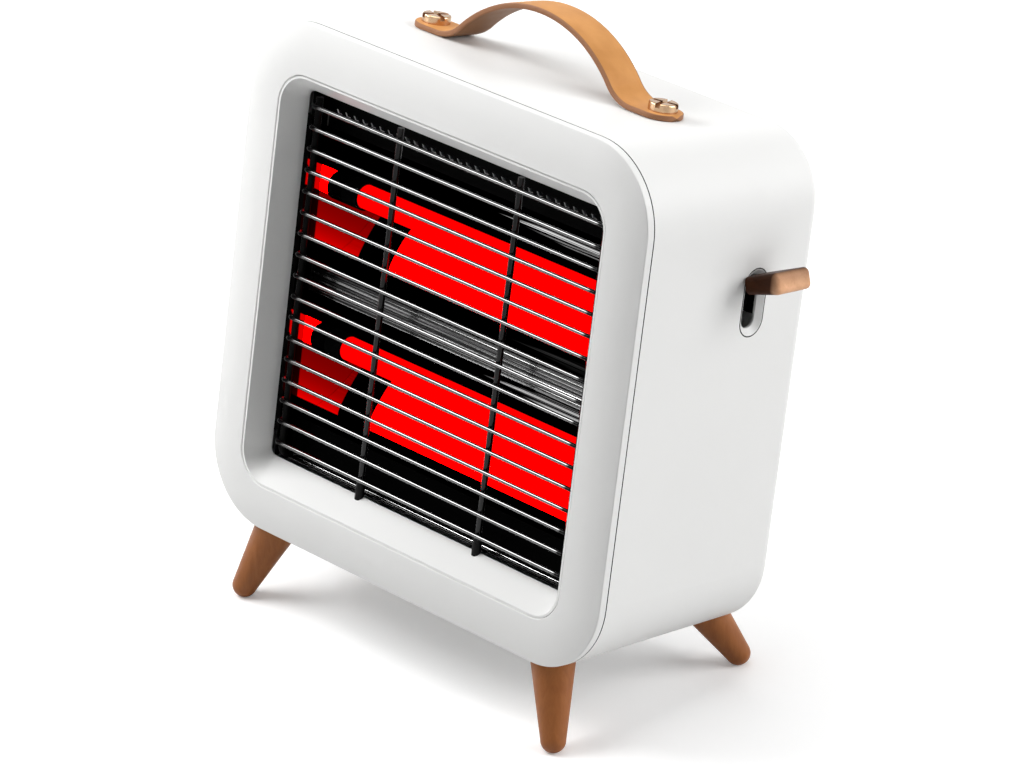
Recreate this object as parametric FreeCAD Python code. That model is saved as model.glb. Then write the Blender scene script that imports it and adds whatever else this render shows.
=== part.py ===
"""Radiant heater: white housing leaning back on splayed legs, two quartz tubes behind a wire grille,
a leather carrying strap on top and a toggle paddle in the right wall.

Lengths are in millimetres. Pieces are drawn in the housing's own frame: X to the right, Y from the front
face to the back, Z up from the underside. The finished pieces are leaned back and set on the floor.
"""
import FreeCAD
import Part
import math
import os

V = FreeCAD.Vector
X_AXIS = V(1, 0, 0)
Y_AXIS = V(0, 1, 0)
Z_AXIS = V(0, 0, 1)

# Housing
body_width = 300.0
body_height = 283.0
body_depth = 135.6
body_corner = 43.5
rear_inset = 5.6
shell_wall = 2.6
rear_wall = 4.2
rear_edge_round = 7.0
bezel_depth = 8.0
bezel_wall = 2.6
bezel_crown_width = 22.0
bezel_crown_drop = 3.6
bezel_edge_round = 0.8
seam_gap = 0.5
lip_gap = 0.2
lip_wall = 1.6
lip_overlap = 5.0
fit_gap = 0.05
slack_gap = 0.3

# Front opening and its funnel liner
opening_side_margin = 26.3
opening_low_margin = 25.4
opening_high_margin = 27.6
opening_width = body_width - 2 * opening_side_margin
opening_height = body_height - opening_low_margin - opening_high_margin
opening_mid_z = opening_low_margin + opening_height / 2
opening_corner = 19.0
opening_edge_round = 0.8
liner_gap = 0.2
liner_rim = 1.2
liner_setback = 0.4
liner_wall = 2.0
recess_depth = 17.0
recess_side_inset = 6.0
recess_cap_inset = 12.0
aperture_width = opening_width - 2 * recess_side_inset
aperture_height = opening_height - 2 * recess_cap_inset
aperture_low_z = opening_mid_z - aperture_height / 2
aperture_high_z = opening_mid_z + aperture_height / 2
aperture_corner = 4.0
liner_flange = 2.0
ledge_width = 10.0
ledge_thickness = 6.0

# Rear cover
rear_rim = 24.0
rear_width = body_width - 2 * rear_inset - 2 * rear_rim
rear_height = body_height - 2 * rear_inset - 2 * rear_rim
rear_corner = 20.0
rebate_width = 8.0
rebate_depth = 2.2
cover_thickness = 2.0
cover_gap = 0.3
vent_length_share = 0.349
vent_offset_share = 0.216
vent_length = rear_width * vent_length_share
vent_offset_x = rear_width * vent_offset_share
vent_height = 3.6
vent_pitch = 11.0
vent_rows = 9
vent_top_inset = 57.0
vent_top_z = body_height - vent_top_inset

# Screws
screw_radius = 1.6
screw_clearance = 0.1
screw_head_radius = 3.2
screw_head_height = 1.9
screw_reach = 5.0
screw_slot_width = 1.0
screw_slot_depth = 0.9
liner_screw_inset = 5.4
liner_screw_shares = (0.219, 0.77)
cover_screw_inset = 4.2
cover_screw_shares = (0.212, 0.5, 0.788)

# Strap on the top wall
strap_width = 24.0
strap_thickness = 3.3
strap_depth_share = 0.5295
strap_y = body_depth * strap_depth_share
strap_side_margin = 54.0
strap_screw_inset = 10.7
strap_flat = 23.0
strap_rise_share = 0.433
strap_arch_share = 1.0685
strap_end_x = body_width / 2 - strap_side_margin
strap_screw_x = strap_end_x - strap_screw_inset
strap_bend_x = strap_end_x - strap_flat
strap_rise = strap_bend_x * strap_rise_share
strap_arch_radius = strap_bend_x * strap_arch_share
strap_head_round = 1.1
strap_cross_turn = 20.0
strap_head_radius = 7.8
strap_head_height = 4.6
strap_cross_width = 2.6
strap_cross_depth = 2.2
strap_shank_radius = 2.5
strap_shank_reach = 10.0
strap_nut_radius = 6.0
strap_nut_height = 4.0
strap_hole_clearance = 0.1

# Stance: lean of the housing and height of its underside at mid depth
lean_angle = 10.0
underside_height = 35.3

# Legs: foot points on the floor, and how far a leg runs out per unit of drop
foot_side_inset = 28.3
front_foot_inset = 5.7
rear_foot_outset = 6.1
foot_x = body_width / 2 - foot_side_inset
front_foot_y = front_foot_inset - body_depth / 2
rear_foot_y = rear_foot_outset + body_depth / 2
leg_side_slope = 0.373
front_leg_slope = -0.368
rear_leg_slope = 0.522
leg_foot_radius = 6.8
leg_top_radius = 12.3
leg_taper_length = 44.0
leg_length = 70.0
foot_flat_cut = 0.7
leg_clearance = 0.06
stud_radius = 4.0
stud_in_leg = 16.0
socket_radius = 11.0
socket_height = 13.0
lean_rise = body_depth / 2 * math.sin(math.radians(lean_angle))
front_stud_drop = 2.1
rear_stud_rise = 8.5
front_stud_height = underside_height + lean_rise - front_stud_drop
rear_stud_height = underside_height - lean_rise + rear_stud_rise

# Grille
wire_count = 17
wire_radius = 1.1
wire_low_margin = 9.74
wire_high_margin = 7.14
wire_low = aperture_low_z + wire_low_margin
wire_high = aperture_high_z - wire_high_margin
wire_pitch = (wire_high - wire_low) / (wire_count - 1)
wire_setback = 3.5
wire_y = recess_depth - wire_setback
hook_turn = 140.0
post_radius = 2.0
post_side_gap = 8.5
post_x = aperture_width / 2 - post_side_gap
post_foot_bend = 6.0
post_head = 5.14
post_top_z = wire_high + post_head
post_foot_drop = 8.4
post_foot_reach = 0.8
rod_radius = 1.75
rod_share = 0.1843
rod_x = opening_width * rod_share
bush_radius = 2.5
bush_height = 9.5

# Heater unit
sheet = 0.8
unit_side_gap = 3.7
unit_low_gap = 0.6
unit_high_gap = 0.4
unit_back_share = 0.60914
unit_half_width = aperture_width / 2 - unit_side_gap
unit_low_z = aperture_low_z + unit_low_gap
unit_high_z = aperture_high_z - unit_high_gap
unit_back_y = body_depth * unit_back_share
plate_flange = 13.0
plate_screw_out = 10.0
plate_screw_x = unit_half_width + plate_screw_out
plate_screw_shares = (0.156, 0.839)
plate_screw_reach = 2.6
tube_spacing_share = 0.4184
tube_spacing = aperture_height * tube_spacing_share
trough_mouth_share = 0.4434
trough_mouth_half = tube_spacing * trough_mouth_share
trough_meet_gap = 0.6
trough_half_height = (tube_spacing - trough_meet_gap) / 2
trough_setback = 13.0
trough_front_y = recess_depth + trough_setback
trough_back_gap = 3.35
trough_depth = unit_back_y - trough_back_gap - trough_front_y
trough_arc_share = -0.1381
trough_arc_lead = trough_depth * trough_arc_share
trough_arc_rise = (trough_depth ** 2 - 2 * trough_depth * trough_arc_lead - trough_mouth_half ** 2)
trough_arc_z = trough_arc_rise / (2 * trough_mouth_half)
trough_radius = math.hypot(trough_depth - trough_arc_lead, trough_arc_z)
trough_mid_y = trough_front_y + trough_arc_lead
tube_depth_share = 0.4467
tube_y = trough_front_y + trough_depth * tube_depth_share
tube_radius = 6.6
tube_wall = 1.2
strand_height = 3.4
strand_thickness = 0.7
cap_radius = 8.0
cap_inset = 11.5
cap_outset = 7.0
tube_seat = 3.5
cap_inner_x = unit_half_width - cap_inset
cap_outer_x = unit_half_width + cap_outset
tube_half_length = cap_inner_x + tube_seat
collar_radius = 10.5
collar_length = 3.2
cap_pin_radius = 1.6
cap_pin_length = 7.0
end_gap = 0.1
strip_half_height = 7.0
strip_drop = 3.0
strip_rib_radius = 0.9
strip_rib_pitch = 3.4
strip_ribs = 4
baffle_foot = 5.5
baffle_setback = 2.7
baffle_head = 3.0
baffle_top_y = recess_depth + baffle_setback
baffle_top_z = unit_high_z + baffle_head
perforation_length = 3.2
perforation_height = 2.5
perforation_count = 32
perforation_span_share = 0.907
perforation_pitch = 2 * unit_half_width * perforation_span_share / (perforation_count - 1)
perforation_drop = 12.3
perforation_z = baffle_top_z - perforation_drop
lower_plate_setback = 9.4
lower_plate_foot = 0.6
lower_plate_front_y = recess_depth + lower_plate_setback
lower_plate_low_z = unit_low_z + lower_plate_foot
flange_setback = 2.7
flange_width = 6.5
flange_front_y = recess_depth + flange_setback
flange_back_y = flange_front_y + flange_width
flange_rib_radius = 0.7

# Toggle and switch, measured from the slot's middle on the right wall
switch_shield_gap = 2.8
switch_half_width = 6.2
slot_y = unit_back_y + sheet + switch_shield_gap + switch_half_width
slot_height_share = 0.6926
slot_z = body_height * slot_height_share
slot_width = 17.0
slot_height = 36.4
slot_bevel = 3.5
slot_line = 0.35
escutcheon_depth = 3.8
escutcheon_flange = 2.6
pivot_inset = 26.7
toggle_angle = 20.0
pin_radius = 2.0
pin_clearance = 0.05
arm_half_width = 4.4
arm_half_height = 2.5
arm_hub_radius = 5.0
arm_spigot = 9.0
tail_length = 14.0
tail_radius = 2.5
tail_half_width = 3.0
paddle_root_reach = 31.0
paddle_tip_reach = 54.848
paddle_root_half_width = 11.0
paddle_tip_half_width = 14.0
paddle_root_low = 4.2
paddle_root_high = 5.2
paddle_tip_low = 5.2
paddle_tip_high = 6.4
paddle_edge_round = 3.0
grip_count = 4
grip_radius = 0.8
grip_pitch = 3.6
grip_tip_inset = 5.0
bracket_thickness = 2.0
bracket_half_width = 20.0
bracket_half_height = 31.0
bracket_window_half_width = 7.6
bracket_window_half_height = 19.0
cheek_gap = 0.6
cheek_half_height = 8.0
cheek_head = 1.6
bracket_screw_y = 15.5
bracket_screw_z = 26.0
bracket_screw_reach = 2.8
shield_radius = 19.0
shield_half_angle = 48.0
switch_front = 36.4
switch_back = 52.0
switch_half_height = 18.0
switch_cavity_back = 47.0
slider_gap = 0.3
slider_front = 37.2
slider_half_width = 4.6
slider_half_height = 6.2
slider_mouth_gap = 0.35
slider_cavity_half_height = 12.6
blade_length = 7.0
blade_width = 6.3
blade_thickness = 0.8
blade_pitch = 11.0

# Thermal cut-out on the heat shield
cutout_x = 26.0
cutout_drop = 38.0
cutout_z = unit_high_z - cutout_drop
cutout_radius = 8.0
cutout_height = 6.0
cutout_ear_half = 13.0
cutout_ear_width = 9.0

# Tilt switch on the floor of the shell
tilt_share = -0.2333
tilt_rear_gap = 27.6
tilt_x = body_width * tilt_share
tilt_y = body_depth - tilt_rear_gap
tilt_pivot_height = 68.0
tilt_half_width = 13.0
tilt_half_depth = 14.0
tilt_wall = 2.0
tilt_head = 10.0
tilt_floor = 28.0
pendulum_length = 22.0
pendulum_radius = 5.0
pendulum_width = 12.0
pendulum_stem_radius = 1.8
pendulum_hub_radius = 3.6

# Terminal block and cord gland
block_share = 0.1333
block_rear_gap = 29.6
block_x = body_width * block_share
block_y = body_depth - block_rear_gap
block_length = 46.0
block_width = 18.0
block_height = 24.0
block_screw_pitch = 13.0
gland_x = 0.0
gland_z = 52.0
gland_bore = 4.2
gland_body_radius = 8.0
gland_head_radius = 11.0
gland_head_length = 7.0
gland_inner_reach = 9.0
gland_nut_thickness = 4.0


def outline(width, height, corner, mid_z, y):
    """Closed rounded rectangle across the housing at depth y."""
    half_w = width / 2
    half_h = height / 2
    edges = []
    last = None
    first = None
    for turn in range(4):
        sign_x = (1, -1, -1, 1)[turn]
        sign_z = (1, 1, -1, -1)[turn]
        mid = V(sign_x * (half_w - corner), y, mid_z + sign_z * (half_h - corner))
        points = []
        for step in range(3):
            angle = math.pi / 2 * turn + math.pi / 4 * step
            points.append(mid + V(math.cos(angle), 0, math.sin(angle)) * corner)
        if last is None:
            first = points[0]
        else:
            edges.append(Part.LineSegment(last, points[0]).toShape())
        edges.append(Part.Arc(points[0], points[1], points[2]).toShape())
        last = points[2]
    edges.append(Part.LineSegment(last, first).toShape())
    return Part.Wire(edges)


def section(y, inset):
    """Outline of the tapering shell at depth y, moved inwards by inset."""
    seam = bezel_depth + seam_gap
    share = (y - seam) / (body_depth - seam)
    drop = rear_inset * share + inset
    return outline(body_width - 2 * drop, body_height - 2 * drop, body_corner - drop, body_height / 2, y)


def crown_cutters():
    """Solids in front of the bezel's crowned face: a straight run and a turned corner for each side."""
    radius = (bezel_crown_width ** 2 + bezel_crown_drop ** 2) / (2 * bezel_crown_drop)
    turn = math.asin(bezel_crown_width / radius) / 2
    flat = body_corner - bezel_crown_width
    middle = V(flat + radius * math.sin(turn), radius - radius * math.cos(turn), 0)
    rim = V(body_corner, bezel_crown_drop, 0)
    out = bezel_crown_width
    arc = Part.Arc(V(flat, 0, 0), middle, rim).toShape()
    rest = Part.makePolygon([rim, V(body_corner + out, bezel_crown_drop, 0), V(body_corner + out, -out, 0),
                             V(flat, -out, 0), V(flat, 0, 0)])
    face = Part.Face(Part.Wire([arc] + rest.Edges))
    corner = face.revolve(V(0, 0, 0), V(0, -1, 0), 90)
    wide = body_width - 2 * body_corner
    high = body_height - 2 * body_corner
    upright = face.extrude(V(0, 0, -high))
    level = face.rotated(V(0, 0, 0), V(0, -1, 0), 90).extrude(V(wide, 0, 0))
    turned = corner.rotated(V(0, 0, 0), V(0, -1, 0), 90)
    at_right = V(wide / 2, 0, body_height / 2 + high / 2)
    at_left = V(-wide / 2, 0, body_height / 2 + high / 2)
    half = [corner.translated(at_right), upright.translated(at_right), turned.translated(at_left),
            level.translated(at_left)]
    return half + [piece.rotated(V(0, 0, body_height / 2), Y_AXIS, 180) for piece in half]


def loft(first, second):
    return Part.makeLoft([first, second], True, True)


def slab(wire, depth):
    return Part.Face(wire).extrude(V(0, depth, 0))


def box(low, high):
    return Part.makeBox(high.x - low.x, high.y - low.y, high.z - low.z, low)


def rod(start, end, radius):
    run = end - start
    return Part.makeCylinder(radius, run.Length, start, run)


def fused(pieces):
    body = pieces[0]
    if len(pieces) > 1:
        body = body.fuse(pieces[1:])
    return body.removeSplitter()


def group(pieces):
    return Part.makeCompound(pieces)


def swept(points, bend, radius):
    """Round bar along a path of straight runs joined by bends."""
    edges = []
    start = points[0]
    for before, corner, after in zip(points, points[1:], points[2:]):
        inward = (before - corner).normalize()
        outward = (after - corner).normalize()
        turn = inward.getAngle(outward)
        reach = bend / math.tan(turn / 2)
        enter = corner + inward * reach
        leave = corner + outward * reach
        middle = (inward + outward).normalize()
        centre = corner + middle * (bend / math.sin(turn / 2))
        edges.append(Part.LineSegment(start, enter).toShape())
        edges.append(Part.Arc(enter, centre - middle * bend, leave).toShape())
        start = leave
    edges.append(Part.LineSegment(start, points[-1]).toShape())
    path = Part.Wire(edges)
    ring = Part.Wire(Part.makeCircle(radius, points[0], points[1] - points[0]))
    return path.makePipeShell([ring], True, False)


def screw(seat, way, reach):
    """Pan-head screw: head stands on the seat against the way it is driven."""
    head = Part.makeCylinder(screw_head_radius, screw_head_height, seat, way * -1)
    shank = Part.makeCylinder(screw_radius, reach, seat, way)
    side = Z_AXIS.cross(way)
    if side.Length < screw_clearance:
        side = X_AXIS
    side.normalize()
    up = way.cross(side)
    slot_box = Part.makeBox(2 * screw_head_radius, screw_slot_width, 2 * screw_slot_depth)
    slot_box.translate(V(-screw_head_radius, -screw_slot_width / 2, -screw_slot_depth))
    frame = FreeCAD.Matrix(side.x, up.x, way.x, 0, side.y, up.y, way.y, 0,
                           side.z, up.z, way.z, 0, 0, 0, 0, 1)
    slot_box.transformShape(frame)
    slot_box.translate(seat - way * screw_head_height)
    return head.fuse(shank).cut(slot_box)


def screw_hole(seat, way, reach):
    start = seat - way * screw_reach
    return Part.makeCylinder(screw_radius + screw_clearance, reach + screw_reach, start, way)


# Frames for what stands on the tapering walls, and the stance of the whole heater
seam_y = bezel_depth + seam_gap
taper_angle = math.degrees(math.atan2(rear_inset, body_depth - seam_y))
strap_inset = rear_inset * (strap_y - seam_y) / (body_depth - seam_y)
slot_inset = rear_inset * (slot_y - seam_y) / (body_depth - seam_y)
top_frame = FreeCAD.Placement(V(0, strap_y, body_height - strap_inset),
                              FreeCAD.Rotation(X_AXIS, -taper_angle))
wall_frame = FreeCAD.Placement(V(body_width / 2 - slot_inset, slot_y, slot_z),
                               FreeCAD.Rotation(Z_AXIS, taper_angle))
stance = FreeCAD.Placement(V(0, 0, underside_height), FreeCAD.Rotation(X_AXIS, -lean_angle))
stance = stance.multiply(FreeCAD.Placement(V(0, -body_depth / 2, 0), FreeCAD.Rotation()))
unstance = stance.inverse()
inner_wall = shell_wall * math.cos(math.radians(taper_angle))


def on_top(shape):
    placed = shape.copy()
    placed.transformShape(top_frame.toMatrix())
    return placed


def on_wall(shape):
    placed = shape.copy()
    placed.transformShape(wall_frame.toMatrix())
    return placed


def from_floor(shape):
    """Bring a shape drawn over the floor into the housing's own frame."""
    placed = shape.copy()
    placed.transformShape(unstance.toMatrix())
    return placed


def tilted(shape, angle):
    """Turn a toggle piece about the pivot, paddle end upwards."""
    turned = shape.copy()
    turned.rotate(V(-pivot_inset, 0, 0), Y_AXIS, -angle)
    return turned


def stadium(width, height, x, depth):
    """Upright slot shape on the right wall, from x inwards by depth."""
    half = width / 2
    rise = height / 2 - half
    lower = V(x, -half, -rise)
    edges = [Part.LineSegment(V(x, -half, rise), lower).toShape(),
             Part.Arc(lower, V(x, 0, -rise - half), V(x, half, -rise)).toShape(),
             Part.LineSegment(V(x, half, -rise), V(x, half, rise)).toShape(),
             Part.Arc(V(x, half, rise), V(x, 0, rise + half), V(x, -half, rise)).toShape()]
    return Part.Face(Part.Wire(edges)).extrude(V(-depth, 0, 0))


parts = {}

# Envelope and cavity of the shell
envelope = loft(section(seam_y, 0), section(body_depth, 0))
rear_edges = [edge for edge in envelope.Edges if abs(edge.BoundBox.YMin - body_depth) < fit_gap]
envelope = envelope.makeFillet(rear_edge_round, rear_edges)
cavity = loft(section(seam_y, shell_wall), section(body_depth - rear_wall, shell_wall))

# Legs with their studs and sockets
leg_places = {
    "leg_front_left": (-1, front_foot_y, front_leg_slope, front_stud_height),
    "leg_front_right": (1, front_foot_y, front_leg_slope, front_stud_height),
    "leg_rear_left": (-1, rear_foot_y, rear_leg_slope, rear_stud_height),
    "leg_rear_right": (1, rear_foot_y, rear_leg_slope, rear_stud_height),
}
leg_stop = loft(section(seam_y, -leg_clearance), section(body_depth + leg_clearance, -leg_clearance))
leg_stop_edges = [edge for edge in leg_stop.Edges
                  if abs(edge.BoundBox.YMin - body_depth - leg_clearance) < fit_gap]
leg_stop = leg_stop.makeFillet(rear_edge_round, leg_stop_edges)
bezel_stop = slab(outline(body_width + 2 * leg_clearance, body_height + 2 * leg_clearance,
                          body_corner + leg_clearance, body_height / 2, 0), seam_y)
studs = []
sockets = []
stud_holes = []
notches = []
for leg_name, (side, foot_y, slope, stud_height) in leg_places.items():
    foot = V(side * foot_x, foot_y, leg_foot_radius - foot_flat_cut)
    rise = V(-side * leg_side_slope, -slope, 1).normalize()
    ball = Part.makeSphere(leg_foot_radius, foot)
    taper = Part.makeCone(leg_foot_radius, leg_top_radius, leg_taper_length, foot, rise)
    shaft_start = foot + rise * leg_taper_length
    shaft = Part.makeCylinder(leg_top_radius, leg_length - leg_taper_length, shaft_start, rise)
    leg = fused([ball, taper, shaft])
    below = box(V(foot.x - leg_top_radius, foot.y - leg_top_radius, -leg_top_radius),
                V(foot.x + leg_top_radius, foot.y + leg_top_radius, 0))
    joint_point = foot + rise * ((stud_height - foot.z) / rise.z)
    stud_start = joint_point - rise * stud_in_leg
    stud = Part.makeCylinder(stud_radius, stud_in_leg + socket_height, stud_start, rise)
    stud_hole = Part.makeCylinder(stud_radius + fit_gap, stud_in_leg + leg_length, stud_start, rise)
    leg = from_floor(leg.cut(below).cut(stud_hole))
    leg = leg.cut(leg_stop).cut(bezel_stop)
    leg = max(leg.Solids, key=lambda solid: solid.Volume)
    parts[leg_name] = leg
    studs.append(from_floor(stud))
    stud_holes.append(from_floor(stud_hole))
    socket = Part.makeCylinder(socket_radius, socket_height + stud_in_leg, stud_start, rise)
    socket = from_floor(socket).common(cavity).cut(from_floor(stud_hole))
    sockets.append(socket)
    notch = Part.makeCylinder(socket_radius + slack_gap, socket_height + 2 * stud_in_leg, stud_start, rise)
    notches.append(from_floor(notch).common(cavity))
parts["leg_studs"] = group(studs)
parts["leg_sockets"] = group(sockets)

# Front bezel: ring with an outer rim, an inner rim and a lip that locates it in the shell
rim_wall = shell_wall + lip_gap + lip_wall
bezel = slab(outline(body_width, body_height, body_corner, body_height / 2, 0), bezel_depth)
crown = crown_cutters()
bezel = bezel.cut(crown)
front_edges = [edge for edge in bezel.Edges if abs(edge.BoundBox.YMin - bezel_crown_drop) < fit_gap
               and abs(edge.BoundBox.YMax - bezel_crown_drop) < fit_gap]
bezel = bezel.makeFillet(bezel_edge_round, front_edges)
opening = slab(outline(opening_width, opening_height, opening_corner, opening_mid_z, 0), bezel_depth)
bezel = bezel.cut(opening)
lip_edges = [edge for edge in bezel.Edges if edge.BoundBox.YMax < fit_gap
             and edge.BoundBox.XLength <= opening_width and edge.BoundBox.ZLength <= opening_height
             and abs(edge.CenterOfMass.x) <= opening_width / 2 + fit_gap
             and abs(edge.CenterOfMass.z - opening_mid_z) <= opening_height / 2 + fit_gap]
bezel = bezel.makeFillet(opening_edge_round, lip_edges)
groove_outer = slab(outline(body_width - 2 * rim_wall, body_height - 2 * rim_wall, body_corner - rim_wall,
                            body_height / 2, bezel_wall), bezel_depth)
groove_inner = slab(outline(opening_width + 2 * bezel_wall, opening_height + 2 * bezel_wall,
                            opening_corner + bezel_wall, opening_mid_z, bezel_wall), bezel_depth)
inner_crown = [piece.translated(V(0, bezel_wall, 0)) for piece in crown]
bezel = bezel.cut(groove_outer.cut(groove_inner).cut(inner_crown))
lip_inset = shell_wall + lip_gap
lip_start = bezel_depth - lip_wall
lip = loft(outline(body_width - 2 * lip_inset, body_height - 2 * lip_inset, body_corner - lip_inset,
                   body_height / 2, lip_start), section(seam_y + lip_overlap, lip_inset))
lip = lip.cut(slab(outline(body_width - 2 * rim_wall, body_height - 2 * rim_wall, body_corner - rim_wall,
                           body_height / 2, 0), seam_y + 2 * lip_overlap))
parts["front_bezel"] = bezel.fuse(lip.cut(notches)).removeSplitter()

# Recess liner: funnel from the opening to the aperture, with a flange at the back
rim_width = opening_width - 2 * liner_gap
rim_height = opening_height - 2 * liner_gap
funnel_out = loft(outline(rim_width, rim_height, opening_corner - liner_gap, opening_mid_z, liner_setback),
                  outline(aperture_width + 2 * liner_wall, aperture_height + 2 * liner_wall,
                          aperture_corner + liner_wall, opening_mid_z, recess_depth))
funnel_in = loft(outline(rim_width - 2 * liner_rim, rim_height - 2 * liner_rim,
                         opening_corner - liner_gap - liner_rim, opening_mid_z, liner_setback),
                 outline(aperture_width, aperture_height, aperture_corner, opening_mid_z, recess_depth))
flange_y = recess_depth - liner_flange
flange = loft(section(flange_y, shell_wall + slack_gap), section(recess_depth, shell_wall + slack_gap))
liner = funnel_out.fuse(flange.cut(notches)).cut(funnel_in).removeSplitter()
liner_seats = [V(side * (body_width / 2 - shell_wall - liner_screw_inset), flange_y, body_height * share)
               for side in (-1, 1) for share in liner_screw_shares]
for seat in liner_seats:
    liner = liner.cut(screw_hole(seat, Y_AXIS, liner_flange + ledge_thickness))

# Main shell: tub with a ledge for the liner, a rebate for the rear cover and holes for what is fixed to it
shell = envelope.cut(cavity)
ledge = loft(section(recess_depth, shell_wall - fit_gap),
             section(recess_depth + ledge_thickness, shell_wall - fit_gap))
ledge_mid = recess_depth + ledge_thickness / 2
ledge_hole_inset = shell_wall + ledge_width
ledge = ledge.cut(loft(section(recess_depth - ledge_thickness, ledge_hole_inset),
                       section(ledge_mid + ledge_thickness, ledge_hole_inset)))
shell = shell.fuse(ledge.cut(notches))
rear_hole = slab(outline(rear_width, rear_height, rear_corner, body_height / 2, body_depth - 2 * rear_wall),
                 3 * rear_wall)
rebate = slab(outline(rear_width + 2 * rebate_width, rear_height + 2 * rebate_width,
                      rear_corner + rebate_width, body_height / 2, body_depth - rebate_depth), rear_wall)
shell = shell.cut(rear_hole).cut(rebate)
pads = []
for side in (-1, 1):
    for level in (-1, 1):
        centre = V(-inner_wall + fit_gap, side * bracket_screw_y, level * bracket_screw_z)
        reach = escutcheon_depth - inner_wall + fit_gap
        pads.append(on_wall(Part.makeCylinder(2 * screw_head_radius, reach, centre, X_AXIS * -1)))
shell = shell.fuse(pads)
slot_hole = stadium(slot_width + 2 * slot_line, slot_height + 2 * slot_line, slot_width, 2 * slot_width)
shell = shell.cut(on_wall(slot_hole))
for hole in stud_holes:
    shell = shell.cut(hole)
for seat in liner_seats:
    shell = shell.cut(screw_hole(seat, Y_AXIS, liner_flange + ledge_thickness))
for side in (-1, 1):
    hole = Part.makeCylinder(strap_shank_radius + strap_hole_clearance, 2 * strap_shank_reach,
                             V(side * strap_screw_x, 0, -strap_shank_reach))
    shell = shell.cut(on_top(hole))
cover_face_y = body_depth - rebate_depth
cover_back_y = cover_face_y + cover_thickness
cover_seats = [V(side * (rear_width / 2 + cover_screw_inset), cover_back_y, body_height * share)
               for side in (-1, 1) for share in cover_screw_shares]
for seat in cover_seats:
    shell = shell.cut(screw_hole(seat, Y_AXIS * -1, screw_reach))
bracket_seat_x = -escutcheon_depth - bracket_thickness
bracket_grip = bracket_thickness + bracket_screw_reach - shell_wall / 2
bracket_seats = []
for side in (-1, 1):
    for level in (-1, 1):
        bracket_seats.append(V(bracket_seat_x, side * bracket_screw_y, level * bracket_screw_z))
for seat in bracket_seats:
    shell = shell.cut(on_wall(screw_hole(seat, X_AXIS, bracket_grip)))
parts["main_shell"] = shell.removeSplitter()
parts["liner_screws"] = group([screw(seat, Y_AXIS, liner_flange + ledge_thickness) for seat in liner_seats])

# Rear cover with two columns of vents and the hole for the cord gland
cover_reach = rebate_width - cover_gap
cover = slab(outline(rear_width + 2 * cover_reach, rear_height + 2 * cover_reach, rear_corner + cover_reach,
                     body_height / 2, cover_face_y), cover_thickness)
for row in range(vent_rows):
    for side in (-1, 1):
        mid = V(side * vent_offset_x, cover_face_y - cover_thickness, vent_top_z - row * vent_pitch)
        half = vent_length / 2 - vent_height / 2
        bar = box(V(mid.x - half, mid.y, mid.z - vent_height / 2),
                  V(mid.x + half, mid.y + 3 * cover_thickness, mid.z + vent_height / 2))
        ends = [Part.makeCylinder(vent_height / 2, 3 * cover_thickness, mid + V(step * half, 0, 0), Y_AXIS)
                for step in (-1, 1)]
        cover = cover.cut(bar.fuse(ends))
for seat in cover_seats:
    cover = cover.cut(screw_hole(seat, Y_AXIS * -1, screw_reach))
gland_point = V(gland_x, cover_back_y, gland_z)
gland_hole = Part.makeCylinder(gland_body_radius + fit_gap, 2 * gland_inner_reach,
                               gland_point - V(0, gland_inner_reach, 0), Y_AXIS)
parts["rear_cover"] = cover.cut(gland_hole)
parts["rear_cover_screws"] = group([screw(seat, Y_AXIS * -1, rear_wall - rebate_depth + cover_thickness)
                                    for seat in cover_seats])

# Cord gland: flanged bush through the rear cover with a nut inside
gland = fused([Part.makeCylinder(gland_head_radius, gland_head_length, gland_point, Y_AXIS),
               Part.makeCylinder(gland_body_radius, gland_inner_reach + cover_thickness,
                                 gland_point - V(0, gland_inner_reach + cover_thickness, 0), Y_AXIS)])
gland_length = gland_inner_reach + cover_thickness + gland_head_length
gland = gland.cut(Part.makeCylinder(gland_bore, gland_length,
                                    gland_point - V(0, gland_inner_reach + cover_thickness, 0), Y_AXIS))
gland_end_y = cover_back_y + gland_head_length
gland_rim = [edge for edge in gland.Edges if abs(edge.BoundBox.YMin - gland_end_y) < fit_gap
             and edge.BoundBox.XLength > gland_head_radius]
parts["cord_gland"] = gland.makeFillet(bezel_wall, gland_rim)
nut_y = cover_face_y - gland_nut_thickness
nut_wire = Part.makePolygon([V(gland_x + gland_head_radius * math.cos(math.pi / 3 * k), nut_y,
                               gland_z + gland_head_radius * math.sin(math.pi / 3 * k)) for k in range(7)])
gland_nut = Part.Face(nut_wire).extrude(V(0, gland_nut_thickness, 0))
parts["gland_nut"] = gland_nut.cut(gland_hole)

# Carrying strap: flat ends, two bends and an arch, rounded in plan
arch_mid_z = strap_thickness + strap_rise - strap_arch_radius
bend_rise = strap_arch_radius ** 2 - strap_bend_x ** 2 - (strap_thickness - arch_mid_z) ** 2
strap_bend_radius = bend_rise / (2 * (strap_thickness - arch_mid_z - strap_arch_radius))
bend_mid_z = strap_thickness + strap_bend_radius
meet_share = strap_arch_radius / (strap_arch_radius + strap_bend_radius)


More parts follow.
